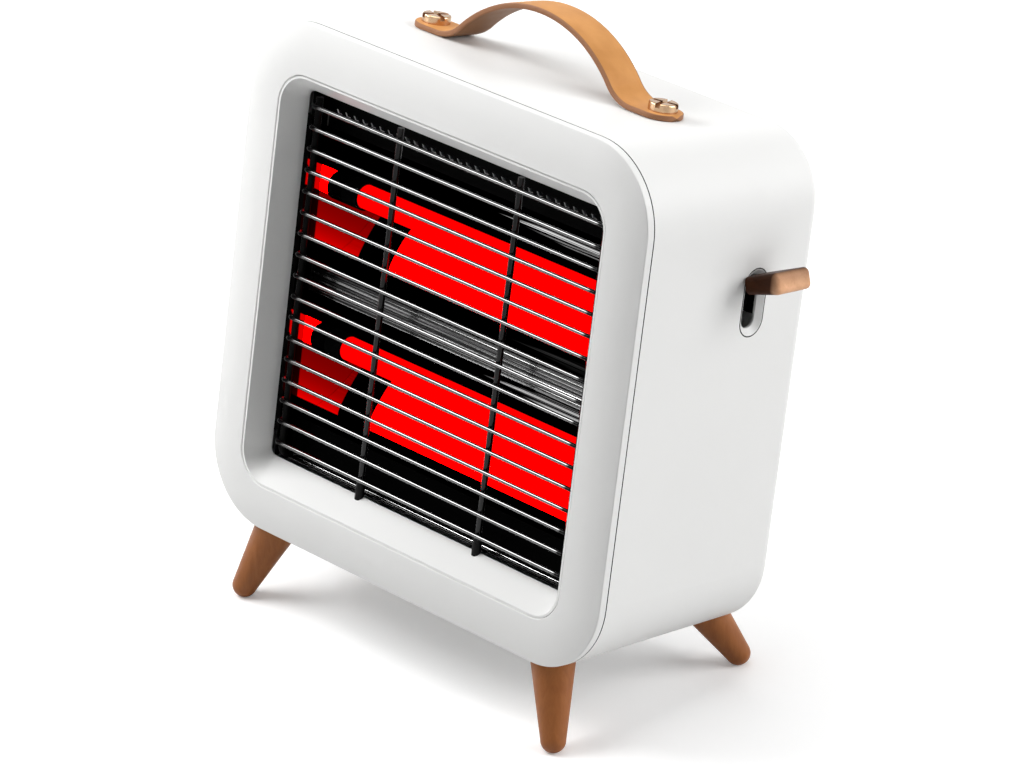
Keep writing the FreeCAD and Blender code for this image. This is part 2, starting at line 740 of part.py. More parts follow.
def strap_side(offset):
    """Edges of the strap's side view, offset below the upper face, from the left end to the right."""
    arch = strap_arch_radius - offset
    bend = strap_bend_radius + offset
    meet_x = strap_bend_x * meet_share
    meet_way = V(meet_x, 0, (bend_mid_z - arch_mid_z) * meet_share).normalize()
    arch_mid = V(0, 0, arch_mid_z)
    flat_z = strap_thickness - offset
    start = V(-strap_end_x, 0, flat_z)
    foot = V(-strap_bend_x, 0, flat_z)
    right = arch_mid + meet_way * arch
    left = V(-right.x, 0, right.z)
    low_way = (V(0, 0, -1) - meet_way).normalize()
    mid_bend = V(strap_bend_x, 0, bend_mid_z) + low_way * bend
    return [Part.LineSegment(start, foot).toShape(),
            Part.Arc(foot, V(-mid_bend.x, 0, mid_bend.z), left).toShape(),
            Part.Arc(left, arch_mid + Z_AXIS * arch, right).toShape(),
            Part.Arc(right, mid_bend, V(strap_bend_x, 0, flat_z)).toShape(),
            Part.LineSegment(V(strap_bend_x, 0, flat_z), V(strap_end_x, 0, flat_z)).toShape()]


upper = strap_side(0)
lower = strap_side(strap_thickness)
caps = [Part.LineSegment(V(side * strap_end_x, 0, 0), V(side * strap_end_x, 0, strap_thickness)).toShape()
        for side in (-1, 1)]
strap_face = Part.Face(Part.Wire(Part.__sortEdges__(upper + lower + caps)))
strap = strap_face.extrude(V(0, strap_width, 0))
strap.translate(V(0, -strap_width / 2, 0))
half_strap = strap_width / 2
strap_tip_x = strap_end_x - half_strap
plan = box(V(-strap_tip_x, -half_strap, -strap_rise), V(strap_tip_x, half_strap, 3 * strap_rise))
plan_ends = [Part.makeCylinder(half_strap, 4 * strap_rise, V(side * strap_tip_x, 0, -strap_rise))
             for side in (-1, 1)]
strap = strap.common(plan.fuse(plan_ends).removeSplitter())
strap_screws = []
strap_nuts = []
for side in (-1, 1):
    seat = V(side * strap_screw_x, 0, strap_thickness)
    shank_end = seat - Z_AXIS * (strap_thickness + shell_wall + strap_nut_height + strap_shank_radius)
    head = Part.makeCylinder(strap_head_radius, strap_head_height, seat)
    head_edges = [edge for edge in head.Edges if edge.BoundBox.ZMin > seat.z + strap_head_height / 2]
    head = head.makeFillet(strap_head_round, head_edges)
    for quarter in (0, 90):
        cross_floor = strap_head_height - strap_cross_depth
        cross = box(V(-2 * strap_head_radius, -strap_cross_width / 2, cross_floor),
                    V(2 * strap_head_radius, strap_cross_width / 2, 2 * strap_head_height))
        cross.rotate(V(0, 0, 0), Z_AXIS, quarter + strap_cross_turn * side)
        cross.translate(seat)
        head = head.cut(cross)
    strap_screws.append(on_top(head.fuse(rod(shank_end, seat, strap_shank_radius))))
    strap = strap.cut(rod(seat - Z_AXIS * strap_rise, seat + Z_AXIS * strap_rise,
                          strap_shank_radius + strap_hole_clearance))
    nut_top = V(seat.x, 0, -shell_wall * math.cos(math.radians(taper_angle)))
    nut = Part.makeCylinder(strap_nut_radius, strap_nut_height, nut_top - Z_AXIS * strap_nut_height)
    nut = nut.cut(rod(shank_end, seat, strap_shank_radius + fit_gap))
    strap_nuts.append(on_top(nut))
parts["carry_strap"] = on_top(strap)
parts["strap_screws"] = group(strap_screws)
parts["strap_nuts"] = group(strap_nuts)

# Grille: hooked cross wires, side posts, upright rods and their bushes
post_y = wire_y + wire_radius + post_radius
rod_y = wire_y + wire_radius + rod_radius
hook_radius = post_radius + wire_radius


def hooked_wire(level):
    """One cross wire, its ends wrapped round the side posts."""
    left = V(-post_x, wire_y, level)
    right = V(post_x, wire_y, level)
    edges = []
    for side in (-1, 1):
        mid = V(side * post_x, post_y, level)
        points = []
        for share in (0, 0.5, 1):
            angle = math.radians(hook_turn * share - 90)
            points.append(mid + V(side * math.cos(angle), math.sin(angle), 0) * hook_radius)
        edges.append(Part.Arc(points[0], points[1], points[2]).toShape())
    straight = Part.LineSegment(left, right).toShape()
    path = Part.Wire(Part.__sortEdges__([edges[0], straight, edges[1]]))
    start = path.OrderedVertexes[0].Point
    first = path.OrderedEdges[0]
    way = first.tangentAt(first.FirstParameter)
    ring = Part.Wire(Part.makeCircle(wire_radius, start, way))
    return path.makePipeShell([ring], True, False)


wires = []
for index in range(wire_count):
    wires.append(hooked_wire(wire_low + index * wire_pitch))
parts["grille_wires"] = group(wires)
posts = []
for side in (-1, 1):
    knee = V(side * post_x, post_y, wire_low - post_foot_drop)
    tip = V(side * post_x, post_y + post_foot_bend + post_foot_reach, knee.z)
    posts.append(swept([V(side * post_x, post_y, post_top_z), knee, tip], post_foot_bend, post_radius))
parts["grille_posts"] = group(posts)
liner_slope = recess_cap_inset / (recess_depth - liner_setback)
floor_z = opening_mid_z - opening_height / 2 + (rod_y - liner_setback) * liner_slope + liner_rim
ceiling_z = 2 * opening_mid_z - floor_z
rods = []
bushes = []
for side in (-1, 1):
    rods.append(rod(V(side * rod_x, rod_y, floor_z), V(side * rod_x, rod_y, ceiling_z), rod_radius))
    start = V(side * rod_x, rod_y, floor_z - bush_radius)
    bush = Part.makeCylinder(bush_radius, bush_height + bush_radius, start)
    core = rod(start, V(side * rod_x, rod_y, ceiling_z), rod_radius + fit_gap)
    bush = bush.cut([core, liner, wires[0]])
    bushes.append(max(bush.Solids, key=lambda solid: solid.Volume))
parts["grille_rods"] = group([bar.cut(liner) for bar in rods])
parts["rod_bushes"] = group(bushes)

# End plates of the heater unit, screwed to the back of the liner
tube_levels = {"lower": opening_mid_z - tube_spacing / 2, "upper": opening_mid_z + tube_spacing / 2}
plate_screws = []
for side, label in ((-1, "left"), (1, "right")):
    near = side * unit_half_width
    far = side * (unit_half_width + sheet)
    lips = side * (unit_half_width + plate_flange)
    web = box(V(min(near, far), recess_depth, unit_low_z), V(max(near, far), unit_back_y, unit_high_z))
    foot = box(V(min(near, lips), recess_depth, unit_low_z + plate_flange),
               V(max(near, lips), recess_depth + sheet, unit_high_z - plate_flange))
    plate = web.fuse(foot).removeSplitter()
    for level in tube_levels.values():
        plate = plate.cut(rod(V(near - side * sheet, tube_y, level), V(far + side * sheet, tube_y, level),
                              cap_radius + fit_gap))
    for share in plate_screw_shares:
        level = unit_low_z + (unit_high_z - unit_low_z) * share
        seat = V(side * plate_screw_x, recess_depth + sheet, level)
        plate = plate.cut(screw_hole(seat, Y_AXIS * -1, screw_reach))
        liner = liner.cut(screw_hole(seat, Y_AXIS * -1, screw_reach))
        plate_screws.append(screw(seat, Y_AXIS * -1, plate_screw_reach))
    parts["end_plate_" + label] = plate
parts["recess_liner"] = liner
parts["end_plate_screws"] = group(plate_screws)

# Troughs, quartz tubes, strands and ceramic caps
reach_x = unit_half_width - end_gap


def pointed_bar(level, radius):
    """Bar across the unit whose section is the overlap of two circles, pointed towards the back."""
    discs = []
    for way in (-1, 1):
        start = V(-reach_x, trough_mid_y, level + way * trough_arc_z)
        discs.append(Part.makeCylinder(radius, 2 * reach_x, start, X_AXIS))
    return discs[0].common(discs[1])


caps = []
cap_pins = []
for label, level in tube_levels.items():
    keep = box(V(-reach_x, trough_front_y, level - trough_half_height),
               V(reach_x, unit_back_y, level + trough_half_height))
    face = box(V(-reach_x, trough_front_y, level - trough_half_height),
               V(reach_x, trough_front_y + sheet, level + trough_half_height))
    outer = pointed_bar(level, trough_radius + sheet).common(keep)
    parts["reflector_" + label] = fused([outer, face]).cut(pointed_bar(level, trough_radius))
    tube_left = V(-tube_half_length, tube_y, level)
    tube_right = V(tube_half_length, tube_y, level)
    hollow = rod(tube_left, tube_right, tube_radius - tube_wall)
    parts["quartz_tube_" + label] = rod(tube_left, tube_right, tube_radius).cut(hollow)
    parts["heating_strand_" + label] = box(
        V(-tube_half_length, tube_y - strand_thickness / 2, level - strand_height / 2),
        V(tube_half_length, tube_y + strand_thickness / 2, level + strand_height / 2))
    for side in (-1, 1):
        cap = rod(V(side * cap_inner_x, tube_y, level), V(side * cap_outer_x, tube_y, level), cap_radius)
        collar_x = unit_half_width + sheet
        collar = rod(V(side * collar_x, tube_y, level), V(side * (collar_x + collar_length), tube_y, level),
                     collar_radius)
        socket_start = V(side * (cap_inner_x - sheet), tube_y, level)
        socket = rod(socket_start, V(side * tube_half_length, tube_y, level), tube_radius + fit_gap)
        pin_start = V(side * (cap_outer_x - cap_pin_length / 2), tube_y, level)
        pin = rod(pin_start, V(side * (cap_outer_x + cap_pin_length), tube_y, level), cap_pin_radius)
        caps.append(fused([cap, collar]).cut(socket).cut(pin))
        cap_pins.append(pin)
parts["tube_caps"] = group(caps)
parts["cap_terminals"] = group(cap_pins)

# Strip between the troughs, perforated baffle above, plate and flange below
strip_mid_z = opening_mid_z - strip_drop
strip = box(V(-reach_x, trough_front_y - sheet, strip_mid_z - strip_half_height),
            V(reach_x, trough_front_y, strip_mid_z + strip_half_height))
ribs = []
for index in range(strip_ribs):
    rib_z = strip_mid_z + (index - (strip_ribs - 1) / 2) * strip_rib_pitch
    centre = V(-reach_x, trough_front_y - sheet, rib_z)
    ribs.append(Part.makeCylinder(strip_rib_radius, 2 * reach_x, centre, X_AXIS))
front_half = box(V(-reach_x, recess_depth, unit_low_z), V(reach_x, trough_front_y - sheet / 2, unit_high_z))
parts["centre_strip"] = fused([strip] + [rib.common(front_half) for rib in ribs])
baffle_low = tube_levels["upper"] + trough_mouth_half + sheet
baffle_knee = baffle_low + baffle_foot


def bent_sheet(points):
    """Sheet of even thickness across the unit, following points in depth and height."""
    face = Part.Face(Part.makePolygon(points + [points[0]]))
    return face.extrude(V(2 * reach_x, 0, 0))


sheet_front = trough_front_y - sheet
baffle_run = V(0, baffle_top_y - sheet_front, baffle_top_z - baffle_knee)
baffle_side = V(0, baffle_run.z, -baffle_run.y).normalize() * sheet
baffle = bent_sheet([V(-reach_x, trough_front_y, baffle_low),
                     V(-reach_x, sheet_front, baffle_low),
                     V(-reach_x, sheet_front, baffle_knee),
                     V(-reach_x, baffle_top_y, baffle_top_z),
                     V(-reach_x, baffle_top_y, baffle_top_z) + baffle_side,
                     V(-reach_x, trough_front_y, baffle_knee)])
perforations = []
for index in range(perforation_count):
    mid_x = (index - (perforation_count - 1) / 2) * perforation_pitch
    half = V(perforation_length / 2, 0, perforation_height / 2)
    perforations.append(box(V(mid_x, recess_depth, perforation_z) - half,
                            V(mid_x, trough_front_y, perforation_z) + half))
parts["top_baffle"] = baffle.cut(perforations)
plate_high = tube_levels["lower"] - trough_mouth_half - sheet
plate_knee = plate_high - baffle_foot
plate_run = V(0, lower_plate_front_y - sheet_front, lower_plate_low_z - plate_knee)
plate_side = V(0, -plate_run.z, plate_run.y).normalize() * sheet
parts["lower_plate"] = bent_sheet([V(-reach_x, trough_front_y, plate_high),
                                   V(-reach_x, sheet_front, plate_high),
                                   V(-reach_x, sheet_front, plate_knee),
                                   V(-reach_x, lower_plate_front_y, lower_plate_low_z),
                                   V(-reach_x, lower_plate_front_y, lower_plate_low_z) + plate_side,
                                   V(-reach_x, trough_front_y, plate_knee)])
flange_reach = post_x - post_radius - slack_gap
flange_strip = box(V(-flange_reach, flange_front_y, lower_plate_low_z - sheet),
                   V(flange_reach, flange_back_y, lower_plate_low_z))
flange_ribs = []
for share in (1 / 3, 2 / 3):
    rib_y = flange_front_y + (flange_back_y - flange_front_y) * share
    start = V(-flange_reach, rib_y, lower_plate_low_z - sheet / 2)
    flange_ribs.append(Part.makeCylinder(flange_rib_radius, 2 * flange_reach, start, X_AXIS))
parts["bottom_flange"] = fused([flange_strip] + flange_ribs)

# Heat shield behind the unit, with the thermal cut-out on it
shield_half = unit_half_width + sheet
parts["heat_shield"] = box(V(-shield_half, unit_back_y, unit_low_z),
                           V(shield_half, unit_back_y + sheet, unit_high_z))
cutout_seat = V(cutout_x, unit_back_y + sheet, cutout_z)
ear = box(cutout_seat - V(cutout_ear_half, 0, cutout_ear_width / 2),
          cutout_seat + V(cutout_ear_half, sheet, cutout_ear_width / 2))
cutout = fused([ear, Part.makeCylinder(cutout_radius, cutout_height, cutout_seat, Y_AXIS)])
blades = []
for side in (-1, 1):
    root = cutout_seat + V(side * cutout_radius / 2, cutout_height, 0)
    blades.append(box(root - V(blade_thickness / 2, 0, blade_width / 2),
                      root + V(blade_thickness / 2, blade_length, blade_width / 2)))
parts["thermal_cutout"] = fused([cutout] + blades)

# Escutcheon: bevelled frame in the slot with a flange behind the wall
slot_inner_width = slot_width - 2 * slot_bevel
slot_inner_height = slot_height - 2 * slot_bevel
frame_ring = stadium(slot_width, slot_height, 0, escutcheon_depth)
back_flange = stadium(slot_width + 2 * escutcheon_flange, slot_height + 2 * escutcheon_flange, -inner_wall,
                      escutcheon_depth - inner_wall)
slot_through = stadium(slot_inner_width, slot_inner_height, slot_bevel, 4 * slot_bevel)
mouth_wide = stadium(slot_width - sheet, slot_height - sheet, 0, sheet).Faces[-2].OuterWire
mouth_narrow = stadium(slot_inner_width, slot_inner_height, -inner_wall, sheet).Faces[-2].OuterWire
mouth = Part.makeLoft([mouth_wide, mouth_narrow], True, True)
escutcheon = frame_ring.fuse(back_flange).cut(slot_through).cut(mouth)
parts["slot_escutcheon"] = on_wall(escutcheon.removeSplitter())

# Toggle bracket with two cheeks that carry the pivot pin
base_x = -escutcheon_depth
plate = box(V(base_x - bracket_thickness, -bracket_half_width, -bracket_half_height),
            V(base_x, bracket_half_width, bracket_half_height))
window = V(2 * bracket_thickness, bracket_window_half_width, bracket_window_half_height)
plate = plate.cut(box(V(base_x, 0, 0) - window, V(base_x, 0, 0) + window))
cheek_in = arm_half_width + cheek_gap
cheeks = []
for side in (-1, 1):
    near = side * cheek_in
    far = side * (bracket_window_half_width + bracket_thickness)
    back = side * (cheek_in + bracket_thickness)
    cheeks.append(box(V(-switch_front, min(near, back), -cheek_half_height),
                      V(base_x - bracket_thickness / 2, max(near, back), cheek_half_height)))
    cheeks.append(box(V(base_x - bracket_thickness, min(near, far), -cheek_half_height),
                      V(base_x, max(near, far), cheek_half_height)))
bracket = fused([plate] + cheeks)
pin_reach = cheek_in + bracket_thickness + cheek_head
pin_front = V(-pivot_inset, -pin_reach, 0)
pin_back = V(-pivot_inset, pin_reach, 0)
bracket = bracket.cut(rod(pin_front, pin_back, pin_radius + fit_gap))
for seat in bracket_seats:
    bracket = bracket.cut(screw_hole(seat, X_AXIS, screw_reach))
parts["toggle_bracket"] = on_wall(bracket)
pin_body = rod(pin_front, pin_back, pin_radius)
pin_heads = []
for side in (-1, 1):
    head_start = V(-pivot_inset, side * (cheek_in + bracket_thickness), 0)
    pin_heads.append(rod(head_start, V(-pivot_inset, side * pin_reach, 0), 2 * pin_radius))
parts["toggle_pin"] = on_wall(fused([pin_body] + pin_heads))
parts["bracket_screws"] = group([on_wall(screw(seat, X_AXIS, bracket_grip)) for seat in bracket_seats])

# Toggle arm, dust shield and paddle, drawn level and then tilted up
pivot = V(-pivot_inset, 0, 0)
arm_end = paddle_root_reach + arm_spigot
tail_start = pivot - V(tail_length, tail_half_width, 0)
arm = fused([Part.makeCylinder(arm_hub_radius, 2 * arm_half_width, pivot - V(0, arm_half_width, 0), Y_AXIS),
             box(pivot + V(0, -arm_half_width, -arm_half_height),
                 pivot + V(arm_end, arm_half_width, arm_half_height)),
             box(pivot + V(-tail_length, -tail_half_width, -tail_radius / 2),
                 pivot + V(0, tail_half_width, tail_radius / 2)),
             Part.makeCylinder(tail_radius, 2 * tail_half_width, tail_start, Y_AXIS)])
arm = arm.cut(rod(pivot - V(0, pin_reach, 0), pivot + V(0, pin_reach, 0), pin_radius + pin_clearance))
shield_start = pivot - V(0, arm_half_width, 0)
shield = Part.makeCylinder(shield_radius, 2 * arm_half_width, shield_start, Y_AXIS, 2 * shield_half_angle)
shield = shield.cut(Part.makeCylinder(shield_radius - sheet, 2 * arm_half_width, shield_start, Y_AXIS))
shield = shield.Solids[0]
spread = V(shield.CenterOfMass.x - pivot.x, 0, shield.CenterOfMass.z)
shield.rotate(pivot, Y_AXIS, math.degrees(math.atan2(spread.z, spread.x)))
shield = shield.cut(box(pivot + V(0, -2 * arm_half_width, -arm_half_height - fit_gap),
                        pivot + V(arm_end, 2 * arm_half_width, arm_half_height + fit_gap)))
parts["toggle_arm"] = on_wall(tilted(arm, toggle_angle))
parts["dust_shield"] = on_wall(tilted(shield, toggle_angle))
root_x = pivot.x + paddle_root_reach
tip_x = pivot.x + paddle_tip_reach
wide_root = paddle_root_half_width
wide_tip = paddle_tip_half_width
plan = [V(root_x, -wide_root, -paddle_tip_low), V(tip_x, -wide_tip, -paddle_tip_low),
        V(tip_x, wide_tip, -paddle_tip_low), V(root_x, wide_root, -paddle_tip_low)]
profile = [V(root_x, -wide_tip, -paddle_root_low), V(tip_x, -wide_tip, -paddle_tip_low),
           V(tip_x, -wide_tip, paddle_tip_high), V(root_x, -wide_tip, paddle_root_high)]
paddle = Part.Face(Part.makePolygon(plan + plan[:1])).extrude(V(0, 0, paddle_tip_low + paddle_tip_high))
wedge = Part.Face(Part.makePolygon(profile + profile[:1])).extrude(V(0, 2 * wide_tip, 0))
paddle = paddle.common(wedge)
paddle = paddle.makeFillet(paddle_edge_round, [edge for edge in paddle.Edges
                                               if edge.CenterOfMass.x > root_x + paddle_edge_round])
grips = []
for index in range(grip_count):
    at_x = tip_x - grip_tip_inset - index * grip_pitch
    reach = paddle_root_half_width - paddle_edge_round
    across = V(0, reach, 0)
    share = (at_x - root_x) / (tip_x - root_x)
    low = V(at_x, 0, -paddle_root_low - share * (paddle_tip_low - paddle_root_low))
    grips.append(rod(low - across, low + across, grip_radius))
paddle = paddle.cut(grips)
paddle = paddle.cut(box(pivot + V(0, -arm_half_width - fit_gap, -arm_half_height - fit_gap),
                        pivot + V(arm_end + fit_gap, arm_half_width + fit_gap, arm_half_height + fit_gap)))
parts["toggle_paddle"] = on_wall(tilted(paddle, toggle_angle))

# Switch body behind the bracket, with a slider that the toggle's tail moves up and down
switch = box(V(-switch_back, -switch_half_width, -switch_half_height),
             V(-switch_front, switch_half_width, switch_half_height))
switch = switch.cut(box(V(-switch_cavity_back, -slider_half_width - slider_gap, -slider_cavity_half_height),
                        V(0, slider_half_width + slider_gap, slider_cavity_half_height)))
parts["switch_body"] = on_wall(switch)
slider_shift = -tail_length * math.sin(math.radians(toggle_angle))
slider = box(V(-switch_cavity_back + slider_gap, -slider_half_width, -slider_half_height),
             V(-slider_front, slider_half_width, slider_half_height))
mouth_half = tail_radius + slider_mouth_gap
tail_far = pivot.x - tail_length
slider = slider.cut(box(V(tail_far - tail_radius - slider_mouth_gap, -slider_half_width, -mouth_half),
                        V(0, slider_half_width, mouth_half)))
slider.translate(V(0, 0, slider_shift))
parts["switch_slider"] = on_wall(slider)
switch_blades = []
for step in (-1, 0, 1):
    root = V(-switch_back, 0, step * blade_pitch)
    switch_blades.append(on_wall(box(root - V(blade_length, blade_width / 2, blade_thickness / 2),
                                     root + V(0, blade_width / 2, blade_thickness / 2))))
parts["switch_terminals"] = group(switch_blades)

# Tilt switch: upright box on the shell floor with a hanging pendulum
tilt_pivot = V(tilt_x, tilt_y - body_depth / 2, tilt_pivot_height)
case = box(tilt_pivot - V(tilt_half_width, tilt_half_depth, tilt_pivot_height),
           tilt_pivot + V(tilt_half_width, tilt_half_depth, tilt_head))
room = box(tilt_pivot - V(tilt_half_width - tilt_wall, tilt_half_depth - tilt_wall, tilt_floor),
           tilt_pivot + V(tilt_half_width - tilt_wall, tilt_half_depth - tilt_wall, tilt_head - tilt_wall))
tilt_reach = V(tilt_half_width, 0, 0)
case = case.cut(room).cut(rod(tilt_pivot - tilt_reach, tilt_pivot + tilt_reach, pin_radius + fit_gap))
parts["tilt_housing"] = from_floor(case).common(cavity)
parts["tilt_pin"] = from_floor(rod(tilt_pivot - tilt_reach, tilt_pivot + tilt_reach, pin_radius))
bob_mid = tilt_pivot - V(0, 0, pendulum_length - pendulum_radius)
half_bob = V(pendulum_width / 2, 0, 0)
pendulum = fused([rod(tilt_pivot - half_bob, tilt_pivot + half_bob, pendulum_hub_radius),
                  rod(tilt_pivot, bob_mid, pendulum_stem_radius),
                  rod(bob_mid - half_bob, bob_mid + half_bob, pendulum_radius)])
pendulum = pendulum.cut(rod(tilt_pivot - tilt_reach, tilt_pivot + tilt_reach, pin_radius + pin_clearance))
parts["tilt_pendulum"] = from_floor(pendulum)

# Terminal block on the shell floor
block = box(V(block_x - block_length / 2, block_y - block_width / 2, 0),
            V(block_x + block_length / 2, block_y + block_width / 2, block_height)).common(cavity)
block_screws = []
for step in (-1, 0, 1):
    seat = V(block_x + step * block_screw_pitch, block_y, block_height)
    block = block.cut(screw_hole(seat, Z_AXIS * -1, screw_reach))
    block_screws.append(screw(seat, Z_AXIS * -1, screw_reach))
parts["terminal_block"] = block
parts["terminal_screws"] = group(block_screws)

# Lean everything back, stand it on the floor and centre it over the origin
placed = {}
for name, shape in parts.items():
    moved = shape.copy()
    moved.transformShape(stance.toMatrix())
    placed[name] = moved
bounds = group(list(placed.values())).optimalBoundingBox(True, False)
centring = V(-(bounds.XMin + bounds.XMax) / 2, -(bounds.YMin + bounds.YMax) / 2, -bounds.ZMin)
os.makedirs("parts", exist_ok=True)
for name, shape in placed.items():
    shape.translate(centring)
    shape.exportStep("parts/" + name + ".step")
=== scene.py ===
"""Looks of the radiant heater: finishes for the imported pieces, a leather strap and a plain studio."""
import logging
import math
from collections.abc import Mapping
from dataclasses import dataclass, field
from enum import Enum
from functools import cached_property

import bpy
import numpy as np
from mathutils import Matrix, Vector


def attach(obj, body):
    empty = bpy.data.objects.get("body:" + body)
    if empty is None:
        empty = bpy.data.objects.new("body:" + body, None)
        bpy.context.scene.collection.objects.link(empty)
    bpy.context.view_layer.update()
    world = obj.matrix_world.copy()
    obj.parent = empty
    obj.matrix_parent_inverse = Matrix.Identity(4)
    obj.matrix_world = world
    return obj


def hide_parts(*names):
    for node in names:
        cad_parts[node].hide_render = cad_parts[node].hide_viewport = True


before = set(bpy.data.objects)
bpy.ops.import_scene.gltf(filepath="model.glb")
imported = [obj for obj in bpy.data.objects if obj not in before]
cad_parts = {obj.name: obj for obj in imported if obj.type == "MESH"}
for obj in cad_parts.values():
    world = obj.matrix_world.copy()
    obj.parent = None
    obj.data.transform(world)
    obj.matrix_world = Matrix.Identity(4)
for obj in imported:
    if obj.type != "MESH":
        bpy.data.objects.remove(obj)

LOG = logging.getLogger("heater")
Colour = tuple[float, float, float]
Point = tuple[float, float, float]
Node = bpy.types.Node
NodeTree = bpy.types.NodeTree
Socket = bpy.types.NodeSocket

COLOUR = "NodeSocketColor"
NUMBER = "NodeSocketFloat"
VECTOR = "NodeSocketVector"

# Directions of the leaning housing, and the middle of its width.
HOUSING_DEPTH: Point = (0.0, 0.984808, -0.173648)
HOUSING_HEIGHT: Point = (0.0, 0.173648, 0.984808)
HOUSING_MIDDLE = -0.0112389


def grey(level: float) -> Colour:
    """Return the neutral colour of one level."""
    return (level, level, level)


BLACK = grey(0.0)
JOINT_DARK = grey(0.012)


class Body(str, Enum):
    """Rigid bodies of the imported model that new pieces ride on."""

    BASE = "base"


class Grain(Enum):
    """Axis along which a grained finish is drawn out."""

    ALONG_X = (0.16, 1.0, 1.0)
    ALONG_Z = (1.0, 1.0, 0.14)


class Tree:
    """Small helper that adds nodes to a node tree and links them."""

    def __init__(self, tree: NodeTree) -> None:
        """Keep the tree that nodes are added to."""
        self.tree = tree

    def add(self, kind: str, links: dict[str | int, Socket] | None = None, **values: object) -> Node:
        """Add a node, set its properties or sockets, and link sockets into it.

        Args:
            kind: node type name.
            links: input socket name or index to the output socket that feeds it.
            **values: node properties, or socket values by socket name with spaces as underscores.

        Returns:
            The new node.
        """
        node = self.tree.nodes.new(kind)
        self.fix(node, **values)
        self.link(node, links or {})
        return node

    @staticmethod
    def fix(node: Node, **values: object) -> None:
        """Set properties or sockets of a node.

        Args:
            node: node to set.
            **values: node properties, or socket values by socket name with spaces as underscores.
        """
        for key, value in values.items():
            if hasattr(node, key):
                setattr(node, key, value)
            else:
                node.inputs[key.replace("_", " ")].default_value = value

    def link(self, node: Node, links: dict[str | int, Socket]) -> None:
        """Link sockets into a node.

        Args:
            node: node that takes the links.
            links: input socket name or index to the output socket that feeds it.
        """
        for key, output in links.items():
            self.tree.links.new(output, node.inputs[key])

    def place(self) -> Socket:
        """Return the object coordinates."""
        return self.add("ShaderNodeTexCoord").outputs["Object"]

    def along_x(self, place: Socket) -> Socket:
        """Return the X part of a vector."""
        return self.add("ShaderNodeSeparateXYZ", {0: place}).outputs["X"]

    def dot(self, first: Socket, second: Socket) -> Socket:
        """Return the dot product of two vectors."""
        node = self.add("ShaderNodeVectorMath", {0: first, 1: second}, operation="DOT_PRODUCT")
        return node.outputs["Value"]

    def near(self, value: Socket, target: Socket, half: Socket) -> Socket:
        """Return 1 where a value lies within a half width of its target."""
        return self.add("ShaderNodeMath", {0: value, 1: target, 2: half}, operation="COMPARE").outputs[0]

    def math(self, operation: str, first: Socket, second: Socket | float = 0.0) -> Socket:
        """Add a math node of two operands.

        Args:
            operation: math operation name.
            first: output socket of the first operand.
            second: output socket or constant of the second operand.

        Returns:
            The result socket.
        """
        node = self.add("ShaderNodeMath", {0: first}, operation=operation)
        if isinstance(second, Socket):
            self.link(node, {1: second})
        else:
            node.inputs[1].default_value = second
        return node.outputs[0]

    def mix(self, factor: Socket, first: Socket | Colour, second: Socket | Colour) -> Socket:
        """Add a colour mix.

        Args:
            factor: output socket of the share of the second colour.
            first: output socket or colour at 0.
            second: output socket or colour at 1.

        Returns:
            The mixed colour socket.
        """
        node = self.add("ShaderNodeMix", {0: factor}, data_type="RGBA")
        for index, source in ((6, first), (7, second)):
            if isinstance(source, Socket):
                self.link(node, {index: source})
            else:
                node.inputs[index].default_value = (*source, 1.0)
        return node.outputs[2]

    def remap(self, value: Socket, low: float, high: float, out_low: float = 0.0,
              out_high: float = 1.0) -> Socket:
        """Add a clamped linear map range.

        Args:
            value: output socket to map.
            low: input at the low end.
            high: input at the high end.
            out_low: output at the low end.
            out_high: output at the high end.

        Returns:
            The mapped socket.
        """
        node = self.add("ShaderNodeMapRange", {0: value})
        for index, number in enumerate((low, high, out_low, out_high), start=1):
            node.inputs[index].default_value = number
        return node.outputs[0]


